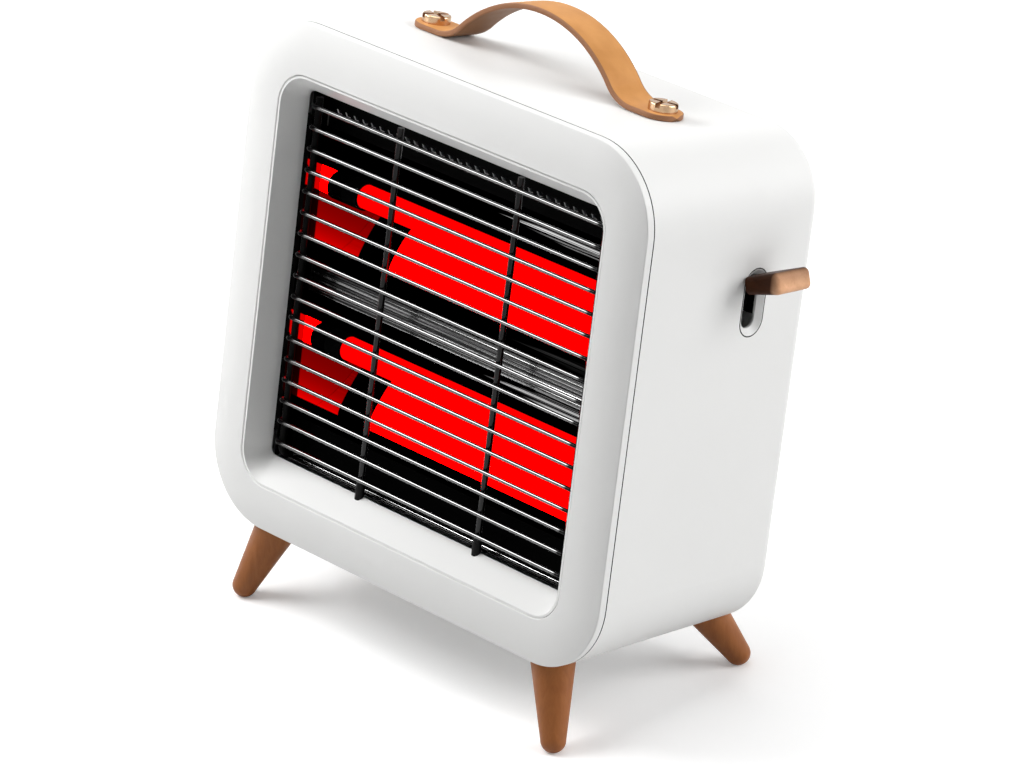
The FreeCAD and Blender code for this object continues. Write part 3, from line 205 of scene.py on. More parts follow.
@dataclass
class Effects:
    """Node groups shared by the finishes, each built once."""

    line_stretch: Point = (3.0, 800.0, 800.0)
    bundle_start: float = -0.035
    bundle_full: float = 0.015
    bundle_soft: float = 0.0015
    # Pale colour of the brushed bundle, part of its painted reflection.
    painted_reflection_colour: Colour = grey(0.85)
    bundle_rough: float = 0.25
    slot_wall: float = -0.05
    pore_scale: float = 1500.0
    hide_scale: float = 55.0

    @staticmethod
    def _open(name: str, inputs: dict[str, str],
              outputs: dict[str, str]) -> tuple[Tree, Mapping[str, Socket], Node]:
        """Start a group tree with its sockets.

        Args:
            name: group name.
            inputs: socket name to socket type.
            outputs: socket name to socket type.

        Returns:
            The helper, the sockets that bring the inputs, and the output node.
        """
        tree = bpy.data.node_groups.new(name, "ShaderNodeTree")
        for way, sockets in (("INPUT", inputs), ("OUTPUT", outputs)):
            for socket, kind in sockets.items():
                tree.interface.new_socket(socket, in_out=way, socket_type=kind)
        helper = Tree(tree)
        return helper, helper.add("NodeGroupInput").outputs, helper.add("NodeGroupOutput")

    @cached_property
    def mottle(self) -> NodeTree:
        """Cloudy colour, roughness and fine grain for moulded and metal surfaces.

        Returns:
            The group tree.
        """
        tree, source, sink = self._open(
            "Mottle",
            {"First": COLOUR, "Second": COLOUR, "Cloud Scale": NUMBER, "Grain Scale": NUMBER,
             "Rough Low": NUMBER, "Rough High": NUMBER},
            {"Color": COLOUR, "Roughness": NUMBER, "Height": NUMBER})
        place = tree.place()
        cloud = tree.add("ShaderNodeTexNoise", {"Vector": place, "Scale": source["Cloud Scale"]}, Detail=4.0)
        grain = tree.add("ShaderNodeTexNoise", {"Vector": place, "Scale": source["Grain Scale"]}, Detail=2.0)
        shade = tree.mix(tree.remap(cloud.outputs["Fac"], 0.3, 0.7), source["First"], source["Second"])
        rough = tree.add("ShaderNodeMapRange", {0: grain.outputs["Fac"], 3: source["Rough Low"],
                                                4: source["Rough High"]})
        tree.link(sink, {"Color": shade, "Roughness": rough.outputs[0], "Height": grain.outputs["Fac"]})
        return tree.tree

    @cached_property
    def streaks(self) -> NodeTree:
        """Rolling lines of a polished sheet, dull before a depth and above a level but for a brushed bundle,
        a painted reflection of pale glowing lines.

        Returns:
            The group tree.
        """
        tree, source, sink = self._open(
            "Streaks",
            {"Sheet": COLOUR, "Line": COLOUR, "Amount": NUMBER, "Depth Axis": VECTOR, "Edge": NUMBER,
             "Height Axis": VECTOR, "Level": NUMBER, "Band": NUMBER, "Half": NUMBER},
            {"Color": COLOUR, "Roughness": NUMBER, "Metallic": NUMBER, "Painted Reflection": COLOUR})
        place = tree.place()
        drawn = tree.add("ShaderNodeVectorMath", {0: place}, operation="MULTIPLY")
        drawn.inputs[1].default_value = self.line_stretch
        lines = tree.add("ShaderNodeTexNoise", {"Vector": drawn.outputs[0]}, Scale=1.0, Detail=3.0,
                         Roughness=0.6)
        marks = tree.remap(lines.outputs["Fac"], 0.5, 0.62)
        shade = tree.mix(tree.math("MULTIPLY", marks, source["Amount"]), source["Sheet"], source["Line"])
        past = tree.math("GREATER_THAN", tree.dot(place, source["Depth Axis"]), source["Edge"])
        height = tree.dot(place, source["Height Axis"])
        above = tree.math("GREATER_THAN", height, source["Level"])
        clear = tree.math("MAXIMUM", tree.math("SUBTRACT", past, above))
        # The brushed bundle is a painted reflection; it widens along X from a point, and fades out over its
        # soft edge.
        width = tree.math("MULTIPLY", tree.remap(tree.along_x(place), self.bundle_start, self.bundle_full),
                          source["Half"])
        off = tree.math("ABSOLUTE", tree.math("SUBTRACT", height, source["Band"]))
        inside = tree.remap(tree.math("SUBTRACT", width, off), 0.0, self.bundle_soft)
        brushed = tree.math("MULTIPLY", marks, inside)
        tree.link(sink, {
            "Color": tree.mix(brushed, tree.mix(clear, BLACK, shade), self.painted_reflection_colour),
            "Roughness": tree.remap(brushed, 0.0, 1.0, 0.0, self.bundle_rough),
            "Metallic": tree.math("MAXIMUM", clear, brushed),
            "Painted Reflection": tree.mix(brushed, BLACK, grey(1.0))})
        return tree.tree

    @cached_property
    def seam(self) -> NodeTree:
        """Dark line where a plane across the housing meets the surface.

        Returns:
            The group tree.
        """
        tree, source, sink = self._open(
            "Seam", {"Color": COLOUR, "Axis": VECTOR, "At": NUMBER, "Half": NUMBER}, {"Color": COLOUR})
        depth = tree.dot(tree.place(), source["Axis"])
        line = tree.near(depth, source["At"], source["Half"])
        tree.link(sink, {"Color": tree.mix(line, source["Color"], JOINT_DARK)})
        return tree.tree

    @cached_property
    def ends(self) -> NodeTree:
        """Second colour beyond a distance to either side along X.

        Returns:
            The group tree.
        """
        tree, source, sink = self._open(
            "Ends", {"Color": COLOUR, "End": COLOUR, "Middle": NUMBER, "Start": NUMBER, "Full": NUMBER},
            {"Color": COLOUR})
        offset = tree.math("SUBTRACT", tree.along_x(tree.place()), source["Middle"])
        share = tree.add("ShaderNodeMapRange", {0: tree.math("ABSOLUTE", offset), 1: source["Start"],
                                                2: source["Full"]})
        tree.link(sink, {"Color": tree.mix(share.outputs[0], source["Color"], source["End"])})
        return tree.tree

    @cached_property
    def slot_line(self) -> NodeTree:
        """Dark line round a slot with round ends, on the slot's own wall.

        Returns:
            The group tree.
        """
        tree, source, sink = self._open(
            "Slot Line",
            {"Color": COLOUR, "Middle": VECTOR, "Along": VECTOR, "Across": VECTOR, "Straight": NUMBER,
             "Radius": NUMBER, "Half": NUMBER},
            {"Color": COLOUR})
        offset = tree.add("ShaderNodeVectorMath", {0: tree.place(), 1: source["Middle"]},
                          operation="SUBTRACT").outputs[0]
        along = tree.math("ABSOLUTE", tree.dot(offset, source["Along"]))
        across = tree.dot(offset, source["Across"])
        # Distance from the slot's straight middle line.
        beyond = tree.math("MAXIMUM", tree.math("SUBTRACT", along, source["Straight"]))
        square = tree.math("ADD", tree.math("MULTIPLY", beyond, beyond),
                           tree.math("MULTIPLY", across, across))
        line = tree.near(tree.math("POWER", square, 0.5), source["Radius"], source["Half"])
        own_wall = tree.math("GREATER_THAN", tree.along_x(offset), self.slot_wall)
        shown = tree.math("MULTIPLY", line, own_wall)
        tree.link(sink, {"Color": tree.mix(shown, source["Color"], JOINT_DARK)})
        return tree.tree

    @cached_property
    def wood(self) -> NodeTree:
        """Drawn-out fibres and bands of oiled timber.

        Returns:
            The group tree.
        """
        tree, source, sink = self._open(
            "Wood", {"Light": COLOUR, "Dark": COLOUR, "Stretch": VECTOR, "Scale": NUMBER},
            {"Color": COLOUR, "Roughness": NUMBER, "Height": NUMBER})
        drawn = tree.add("ShaderNodeVectorMath", {0: tree.place(), 1: source["Stretch"]},
                         operation="MULTIPLY").outputs[0]
        band = tree.add("ShaderNodeTexNoise", {"Vector": drawn, "Scale": source["Scale"]},
                        Detail=5.0, Distortion=0.8).outputs["Fac"]
        fine_scale = tree.math("MULTIPLY", source["Scale"], 7.0)
        fibre = tree.add("ShaderNodeTexNoise", {"Vector": drawn, "Scale": fine_scale},
                         Detail=3.0).outputs["Fac"]
        blend = tree.math("ADD", tree.math("MULTIPLY", band, 0.7), tree.math("MULTIPLY", fibre, 0.3))
        shade = tree.mix(tree.remap(blend, 0.36, 0.62), source["Dark"], source["Light"])
        rough = tree.remap(fibre, 0.2, 0.8, 0.3, 0.5)
        tree.link(sink, {"Color": shade, "Roughness": rough, "Height": fibre})
        return tree.tree

    @cached_property
    def leather(self) -> NodeTree:
        """Fine pores and soft clouding of smooth leather.

        Returns:
            The group tree.
        """
        tree, source, sink = self._open("Leather", {"Face": COLOUR, "Deep": COLOUR},
                                        {"Color": COLOUR, "Roughness": NUMBER, "Height": NUMBER})
        place = tree.place()
        pores = tree.add("ShaderNodeTexVoronoi", {"Vector": place}, Scale=self.pore_scale).outputs["Distance"]
        cloud = tree.add("ShaderNodeTexNoise", {"Vector": place}, Scale=self.hide_scale,
                         Detail=4.0).outputs["Fac"]
        shade = tree.mix(tree.remap(cloud, 0.35, 0.68), source["Deep"], source["Face"])
        rough = tree.remap(cloud, 0.2, 0.8, 0.42, 0.56)
        tree.link(sink, {"Color": shade, "Roughness": rough, "Height": pores})
        return tree.tree


EFFECTS = Effects()


@dataclass(frozen=True)
class Finish:
    """Base of a procedural finish; a subclass fills the material tree."""

    name: str

    def material(self) -> bpy.types.Material:
        """Build the material once and return it.

        Returns:
            The material.
        """
        found = bpy.data.materials.get("fin_" + self.name)
        if found:
            return found
        made = bpy.data.materials.new("fin_" + self.name)
        made.use_nodes = True
        made.node_tree.nodes.clear()
        tree = Tree(made.node_tree)
        shader = tree.add("ShaderNodeBsdfPrincipled")
        tree.add("ShaderNodeOutputMaterial", {"Surface": shader.outputs[0]})
        self.fill(tree, shader)
        return made

    def fill(self, tree: Tree, shader: Node) -> None:
        """Connect the finish to the shader.

        Args:
            tree: helper on the material's tree.
            shader: principled shader.
        """
        raise NotImplementedError

    @staticmethod
    def bump(tree: Tree, shader: Node, height: Socket, distance: float, strength: float) -> None:
        """Feed a height into the shader's normal.

        Args:
            tree: helper on the material's tree.
            shader: principled shader.
            height: height output socket.
            distance: depth of the relief in metres.
            strength: share of the relief that shows.
        """
        node = tree.add("ShaderNodeBump", {"Height": height}, Strength=strength, Distance=distance)
        tree.link(shader, {"Normal": node.outputs[0]})


@dataclass(frozen=True)
class Moulded(Finish):
    """Plastic, paint, rubber, ceramic or metal with clouded colour and a fine grain."""

    first: Colour = grey(0.8)
    second: Colour = grey(0.78)
    rough: tuple[float, float] = (0.3, 0.4)
    metallic: float = 0.0
    cloud: float = 9.0
    grain: float = 900.0
    relief: float = 0.00004
    relief_share: float = 0.4
    specular: float = 0.5
    sheen: float = 0.0
    sheen_rough: float = 0.25

    def fill(self, tree: Tree, shader: Node) -> None:
        """Connect the mottle group to the shader.

        Args:
            tree: helper on the material's tree.
            shader: principled shader.
        """
        group = tree.add("ShaderNodeGroup", node_tree=EFFECTS.mottle, First=(*self.first, 1.0),
                         Second=(*self.second, 1.0), Cloud_Scale=self.cloud, Grain_Scale=self.grain,
                         Rough_Low=self.rough[0], Rough_High=self.rough[1]).outputs
        tree.link(shader, {"Base Color": self.tint(tree, group["Color"]), "Roughness": group["Roughness"]})
        tree.fix(shader, Metallic=self.metallic, Specular_IOR_Level=self.specular, Sheen_Weight=self.sheen,
                 Sheen_Roughness=self.sheen_rough)
        if self.relief > 0.0:
            self.bump(tree, shader, group["Height"], self.relief, self.relief_share)

    def tint(self, tree: Tree, colour: Socket) -> Socket:
        """Change the colour over the piece; a plain finish stays as it is.

        Args:
            tree: helper on the material's tree.
            colour: colour socket of the finish.

        Returns:
            The colour socket to use.
        """
        return colour


@dataclass(frozen=True)
class Lined(Moulded):
    """Moulded finish with the dark joint lines of the housing: the seam, the slot's outline, or both."""

    seam: bool = True
    slot: bool = False
    seam_at: float = -0.08783
    seam_half: float = 0.00036
    slot_middle: Point = (0.135064, 0.03577, 0.224051)
    slot_across: Point = (-0.044017, 0.983853, -0.17348)
    slot_straight: float = 0.0097
    slot_radius: float = 0.008675
    slot_half: float = 0.00034

    def tint(self, tree: Tree, colour: Socket) -> Socket:
        """Draw the joint lines that this finish has.

        Args:
            tree: helper on the material's tree.
            colour: colour socket to draw over.

        Returns:
            The colour socket with the lines.
        """
        if self.seam:
            colour = tree.add("ShaderNodeGroup", {"Color": colour}, node_tree=EFFECTS.seam,
                              Axis=HOUSING_DEPTH, At=self.seam_at, Half=self.seam_half).outputs["Color"]
        if self.slot:
            colour = tree.add("ShaderNodeGroup", {"Color": colour}, node_tree=EFFECTS.slot_line,
                              Middle=self.slot_middle, Along=HOUSING_HEIGHT, Across=self.slot_across,
                              Straight=self.slot_straight, Radius=self.slot_radius,
                              Half=self.slot_half).outputs["Color"]
        return colour


@dataclass(frozen=True)
class ShadedEnds(Moulded):
    """Moulded finish darkened towards both ends along X as painted shade."""

    # Dark colour of the painted shade at the ends.
    end: Colour = grey(0.006)
    start: float = 0.105
    full: float = 0.107

    def tint(self, tree: Tree, colour: Socket) -> Socket:
        """Paint shade towards the ends.

        Args:
            tree: helper on the material's tree.
            colour: colour socket between the ends.

        Returns:
            The colour socket to use.
        """
        return tree.add("ShaderNodeGroup", {"Color": colour}, node_tree=EFFECTS.ends, End=(*self.end, 1.0),
                        Middle=HOUSING_MIDDLE, Start=self.start, Full=self.full).outputs["Color"]


@dataclass(frozen=True)
class Ground(Moulded):
    """Pale floor, a little darker to bounced light and lifted in its shadows to the camera."""

    bounced: Colour = grey(0.65)
    lift: Colour = grey(0.17)

    def fill(self, tree: Tree, shader: Node) -> None:
        """Connect the floor's colour, and its lift for rays that show it.

        Args:
            tree: helper on the material's tree.
            shader: principled shader.
        """
        super().fill(tree, shader)
        direct = tree.add("ShaderNodeLightPath").outputs["Is Camera Ray"]
        tree.link(shader, {"Emission Color": tree.mix(direct, BLACK, self.lift)})
        tree.fix(shader, Emission_Strength=1.0)

    def tint(self, tree: Tree, colour: Socket) -> Socket:
        """Darken the floor for bounced light.

        Args:
            tree: helper on the material's tree.
            colour: colour socket of the floor.

        Returns:
            The colour socket to use.
        """
        return tree.mix(tree.add("ShaderNodeLightPath").outputs["Is Diffuse Ray"], colour, self.bounced)


@dataclass(frozen=True)
class Timber(Finish):
    """Oiled wood with its grain along one axis."""

    light: Colour = (0.34, 0.118, 0.032)
    dark: Colour = (0.27, 0.088, 0.022)
    grain: Grain = Grain.ALONG_Z
    scale: float = 160.0
    gloss: float = 0.25
    relief: float = 0.00004
    relief_share: float = 0.3

    def fill(self, tree: Tree, shader: Node) -> None:
        """Connect the wood group to the shader.

        Args:
            tree: helper on the material's tree.
            shader: principled shader.
        """
        group = self.grained(tree, self.light, self.dark).outputs
        tree.link(shader, {"Base Color": self.tint(tree, group["Color"]), "Roughness": group["Roughness"]})
        tree.fix(shader, Specular_IOR_Level=self.gloss)
        self.bump(tree, shader, group["Height"], self.relief, self.relief_share)

    def grained(self, tree: Tree, light: Colour, dark: Colour) -> Node:
        """Place the wood group with two colours.

        Args:
            tree: helper on the material's tree.
            light: colour between the fibres.
            dark: colour of the fibres.

        Returns:
            The group node.
        """
        return tree.add("ShaderNodeGroup", node_tree=EFFECTS.wood, Light=(*light, 1.0), Dark=(*dark, 1.0),
                        Stretch=self.grain.value, Scale=self.scale)

    def tint(self, tree: Tree, colour: Socket) -> Socket:
        """Change the wood's colour over the piece; plain wood stays as it is.

        Args:
            tree: helper on the material's tree.
            colour: colour socket of the wood.

        Returns:
            The colour socket to use.
        """
        return colour


@dataclass(frozen=True)
class PaintedLightTimber(Timber):
    """Oiled wood with painted shade at the root and painted light at the tip along X."""

    # Pale tip colours: painted light on the paddle's end.
    lit_tip_light: Colour = (0.82, 0.47, 0.28)
    lit_tip_dark: Colour = (0.72, 0.39, 0.22)
    start: float = 0.1555
    full: float = 0.1608

    def tint(self, tree: Tree, colour: Socket) -> Socket:
        """Paint light on the wood towards the tip.

        Args:
            tree: helper on the material's tree.
            colour: colour socket of the wood at the root, which carries the painted shade.

        Returns:
            The colour socket to use.
        """
        tip = self.grained(tree, self.lit_tip_light, self.lit_tip_dark).outputs["Color"]
        return tree.add("ShaderNodeGroup", {"Color": colour, "End": tip}, node_tree=EFFECTS.ends,
                        Start=self.start, Full=self.full).outputs["Color"]


@dataclass(frozen=True)
class Hide(Finish):
    """Strap leather: smooth face, raw edge and an underside darkened as painted shade, told apart by the
    strap's attributes.
    """

    face: Colour = (0.66, 0.315, 0.105)
    deep: Colour = (0.55, 0.245, 0.07)
    raw: Colour = (0.3, 0.14, 0.07)
    # Colour of the underside, painted shade.
    underside_painted_shade: Colour = (0.2, 0.09, 0.035)
    gloss: float = 0.2
    relief: float = 0.00012
    relief_share: float = 0.25

    def fill(self, tree: Tree, shader: Node) -> None:
        """Connect the leather group, the raw edge and the painted shade of the underside to the shader.

        Args:
            tree: helper on the material's tree.
            shader: principled shader.
        """
        group = tree.add("ShaderNodeGroup", node_tree=EFFECTS.leather, Face=(*self.face, 1.0),
                         Deep=(*self.deep, 1.0)).outputs
        edge = tree.add("ShaderNodeAttribute", attribute_name="raw_edge").outputs["Fac"]
        under = tree.add("ShaderNodeAttribute", attribute_name="painted_shade_underside").outputs["Fac"]
        # The underside takes a dark colour as painted shade.
        shade = tree.mix(edge, tree.mix(under, group["Color"], self.underside_painted_shade), self.raw)
        tree.link(shader, {"Base Color": shade, "Roughness": group["Roughness"]})
        tree.fix(shader, Specular_IOR_Level=self.gloss)
        self.bump(tree, shader, group["Height"], self.relief, self.relief_share)


@dataclass(frozen=True)
class Polished(Finish):
    """Polished or brushed sheet with rolling lines, dull in front of a given depth along an axis; a brushed
    bundle on it glows as a painted reflection.
    """

    sheet: Colour = grey(0.004)
    line: Colour = grey(0.006)
    amount: float = 1.0
    rough: float = 0.0
    metallic: float = 1.0
    unseen: float = 0.03
    specular: float = 0.1
    axis: Point = HOUSING_DEPTH
    edge: float = -1.0
    level: float = 1.0
    band: float = 0.0
    half: float = 0.0
    # Emission strength of the brushed bundle's painted reflection.
    painted_reflection_glow: float = 0.8

    def fill(self, tree: Tree, shader: Node) -> None:
        """Connect the streaked colour to the shader, plain to a mirror and dimmed to all other rays.

        Args:
            tree: helper on the material's tree.
            shader: principled shader.
        """
        group = tree.add("ShaderNodeGroup", node_tree=EFFECTS.streaks, Sheet=(*self.sheet, 1.0),
                         Line=(*self.line, 1.0), Amount=self.amount, Depth_Axis=self.axis, Edge=self.edge,
                         Height_Axis=HOUSING_HEIGHT, Level=self.level, Band=self.band, Half=self.half).outputs
        path = tree.add("ShaderNodeLightPath").outputs
        dim = tuple(self.unseen * part for part in self.sheet)
        mirrored = tree.mix(path["Is Singular Ray"], dim, self.sheet)
        tree.link(shader, {"Base Color": tree.mix(path["Is Camera Ray"], mirrored, group["Color"])})
        tree.fix(shader, Specular_IOR_Level=self.specular)
        # The brushed bundle glows through the emission as a painted reflection.
        if self.half > 0.0:
            tree.link(shader, {"Roughness": group["Roughness"], "Metallic": group["Metallic"],
                               "Emission Color": group["Painted Reflection"]})
            tree.fix(shader, Emission_Strength=self.painted_reflection_glow)
        else:
            tree.fix(shader, Roughness=self.rough, Metallic=self.metallic)


@dataclass(frozen=True)
class Glow(Finish):
    """Quartz tube at full heat: red to the eye and brighter in the polished troughs."""

    hot: Colour = (1.0, 0.0, 0.0)
    cooler: Colour = (0.94, 0.0, 0.0)
    unlit: Colour = (0.02, 0.0, 0.0)
    cloud: float = 120.0
    rough: float = 0.2
    seen: float = 1.15
    mirrored: float = 250.0
    spread: float = 0.03

    def fill(self, tree: Tree, shader: Node) -> None:
        """Connect the emission to the shader.

        Args:
            tree: helper on the material's tree.
            shader: principled shader.
        """
        cloud = tree.add("ShaderNodeTexNoise", {"Vector": tree.place()}, Scale=self.cloud, Detail=3.0)
        path = tree.add("ShaderNodeLightPath").outputs
        clean = tree.math("LESS_THAN", path["Diffuse Depth"], 0.5)
        share = tree.math("MULTIPLY", path["Is Singular Ray"], clean)
        sharp = tree.remap(share, 0.0, 1.0, self.spread, self.mirrored)
        camera = tree.math("MULTIPLY", path["Is Camera Ray"], self.seen)
        tree.link(shader, {"Emission Color": tree.mix(cloud.outputs["Fac"], self.hot, self.cooler),
                           "Emission Strength": tree.math("MAXIMUM", sharp, camera)})
        tree.fix(shader, Base_Color=(*self.unlit, 1.0), Roughness=self.rough, Specular_IOR_Level=0.0)


# Shell, wood and leather.
WHITE = Lined("white_shell", (0.84, 0.84, 0.83), (0.82, 0.82, 0.81), (0.34, 0.42), specular=0.2, slot=True)
WHITE_BEZEL = Lined("white_bezel", (0.84, 0.84, 0.83), (0.825, 0.825, 0.815), (0.32, 0.4), specular=0.2)
WHITE_LINER = Moulded("white_liner", (0.87, 0.87, 0.86), (0.85, 0.85, 0.84), (0.28, 0.36), specular=0.2)
WHITE_REAR = Moulded("white_rear", (0.8, 0.8, 0.79), (0.77, 0.77, 0.76), (0.45, 0.55), grain=500.0)
FRAME_WHITE = Lined("escutcheon_white", (0.8, 0.8, 0.79), (0.77, 0.77, 0.76), seam=False, slot=True)
GLAND = Moulded("gland_white", (0.75, 0.75, 0.74), (0.72, 0.72, 0.71), (0.4, 0.5))
LEG_WOOD = Timber("leg_wood")
# Paddle wood: the very dark root colours are painted shade, and the pale tip is painted light.
PADDLE_PAINTED_LIGHT_WOOD = PaintedLightTimber("paddle_wood", (0.05, 0.016, 0.006), (0.03, 0.009, 0.003), Grain.ALONG_X,
                           scale=190.0, gloss=0.05)
LEATHER = Hide("tan_leather")
# Grille.
CHROME = Moulded("dark_chrome", grey(0.03), grey(0.025), (0.1, 0.15), metallic=1.0, relief=0.0, sheen=0.8)
# The wire ends, where they hook round the posts, are darkened as painted shade.
WIRE = ShadedEnds("wire_chrome_shaded_ends", grey(0.16), grey(0.14), (0.03, 0.05), metallic=1.0, relief=0.0, sheen=0.4)
BLACK_STEEL = Moulded("black_steel", grey(0.003), grey(0.005), (0.2, 0.3), specular=0.03)
RUBBER = Moulded("black_rubber", grey(0.004), grey(0.007), (0.4, 0.6), specular=0.1)
# Heater unit.
# The troughs' brushed bundles, at band and half wide, are painted reflections that glow.
MIRROR_UPPER = Polished("trough_mirror_upper", edge=-0.063, level=0.20985, band=0.2265, half=0.0045,
                        specular=0.0)
MIRROR_LOWER = Polished("trough_mirror_lower", edge=-0.063, level=0.12366, band=0.1355, half=0.0045,
                        specular=0.0)
END_MIRROR = Polished("end_mirror", grey(0.12), amount=0.0, edge=-0.068)
STRIP = Polished("grey_strip", grey(0.03), grey(0.5), rough=0.22, unseen=1.0)
BAFFLE = Polished("perforated_black", grey(0.9), amount=0.0, rough=0.6, metallic=0.0, unseen=1.0,
                  specular=0.02, axis=(0.0, 0.95192, 0.30636), edge=0.0617943)
BLACK_PLATE = Moulded("black_plate", grey(0.0015), grey(0.003), (0.1, 0.2), specular=0.0)
CERAMIC = Moulded("dark_ceramic", grey(0.003), grey(0.005), (0.5, 0.7), specular=0.05)
STRAND = Moulded("strand", (0.02, 0.004, 0.004), (0.03, 0.006, 0.006), (0.5, 0.6))
QUARTZ = Glow("quartz_red")
# Fastenings and inner pieces.
ZINC = Moulded("zinc", (0.55, 0.55, 0.56), (0.45, 0.45, 0.46), (0.25, 0.4), metallic=1.0)
BRASS = Moulded("brass_blade", (0.6, 0.42, 0.16), (0.52, 0.36, 0.13), (0.25, 0.35), metallic=1.0)
ROSE_GOLD = Moulded("rose_gold", (0.6, 0.4, 0.25), (0.52, 0.34, 0.2), (0.15, 0.25), metallic=1.0)
BLACK_PLASTIC = Moulded("black_plastic", grey(0.002), grey(0.003), (0.4, 0.55), specular=0.02)


@dataclass
class Assembly:
    """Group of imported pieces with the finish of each."""

    finishes: dict[str, Finish] = field(default_factory=dict)

    def build(self) -> int:
        """Dress every piece of the group.

        Returns:
            Number of pieces dressed.
        """
        for node, finish in self.finishes.items():
            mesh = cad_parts[node].data
            mesh.materials.clear()
            mesh.materials.append(finish.material())
            LOG.info("%s in %s", node, finish.name)
        return len(self.finishes)


@dataclass
class Housing(Assembly):
    """Bezel, liner, shell and rear cover."""

    finishes: dict[str, Finish] = field(default_factory=lambda: {
        "front_bezel": WHITE_BEZEL, "recess_liner": WHITE_LINER, "main_shell": WHITE,
        "rear_cover": WHITE_REAR, "rear_cover_screws": ZINC, "liner_screws": ZINC, "cord_gland": GLAND,
        "gland_nut": GLAND})


@dataclass
class Legs(Assembly):
    """Turned legs with their studs and sockets."""

    finishes: dict[str, Finish] = field(default_factory=lambda: {
        "leg_front_left": LEG_WOOD, "leg_front_right": LEG_WOOD, "leg_rear_left": LEG_WOOD,
        "leg_rear_right": LEG_WOOD, "leg_studs": ZINC, "leg_sockets": BLACK_PLASTIC})


@dataclass
class Grille(Assembly):
    """Cross wires, posts, rods and bushes."""

    finishes: dict[str, Finish] = field(default_factory=lambda: {
        "grille_wires": WIRE, "grille_posts": BLACK_STEEL, "grille_rods": CHROME, "rod_bushes": RUBBER})


@dataclass
class HeaterUnit(Assembly):
    """Troughs, tubes and the sheets round them."""

    finishes: dict[str, Finish] = field(default_factory=lambda: {
        "reflector_upper": MIRROR_UPPER, "reflector_lower": MIRROR_LOWER, "end_plate_left": END_MIRROR,
        "end_plate_right": END_MIRROR, "centre_strip": STRIP, "top_baffle": BAFFLE,
        "lower_plate": BLACK_PLATE, "bottom_flange": STRIP, "heat_shield": ZINC, "end_plate_screws": ZINC,
        "quartz_tube_upper": QUARTZ, "quartz_tube_lower": QUARTZ, "heating_strand_upper": STRAND,
        "heating_strand_lower": STRAND, "tube_caps": CERAMIC, "cap_terminals": ZINC})


@dataclass
class Toggle(Assembly):
    """Toggle paddle, its slot and the switch behind it."""

    finishes: dict[str, Finish] = field(default_factory=lambda: {
        "toggle_paddle": PADDLE_PAINTED_LIGHT_WOOD, "toggle_arm": BLACK_STEEL, "dust_shield": BLACK_PLASTIC,
        "toggle_pin": BLACK_STEEL, "toggle_bracket": BLACK_STEEL, "bracket_screws": BLACK_STEEL,
        "slot_escutcheon": FRAME_WHITE, "switch_body": BLACK_PLASTIC, "switch_slider": BLACK_PLASTIC,
        "switch_terminals": BRASS})


@dataclass
class Works(Assembly):
    """Safety and mains pieces inside the shell, and the strap's fastenings."""

    finishes: dict[str, Finish] = field(default_factory=lambda: {
        "thermal_cutout": CERAMIC, "tilt_housing": BLACK_PLASTIC, "tilt_pendulum": ZINC, "tilt_pin": ZINC,
        "terminal_block": BLACK_PLASTIC, "terminal_screws": ZINC, "strap_screws": ROSE_GOLD,
        "strap_nuts": ZINC})


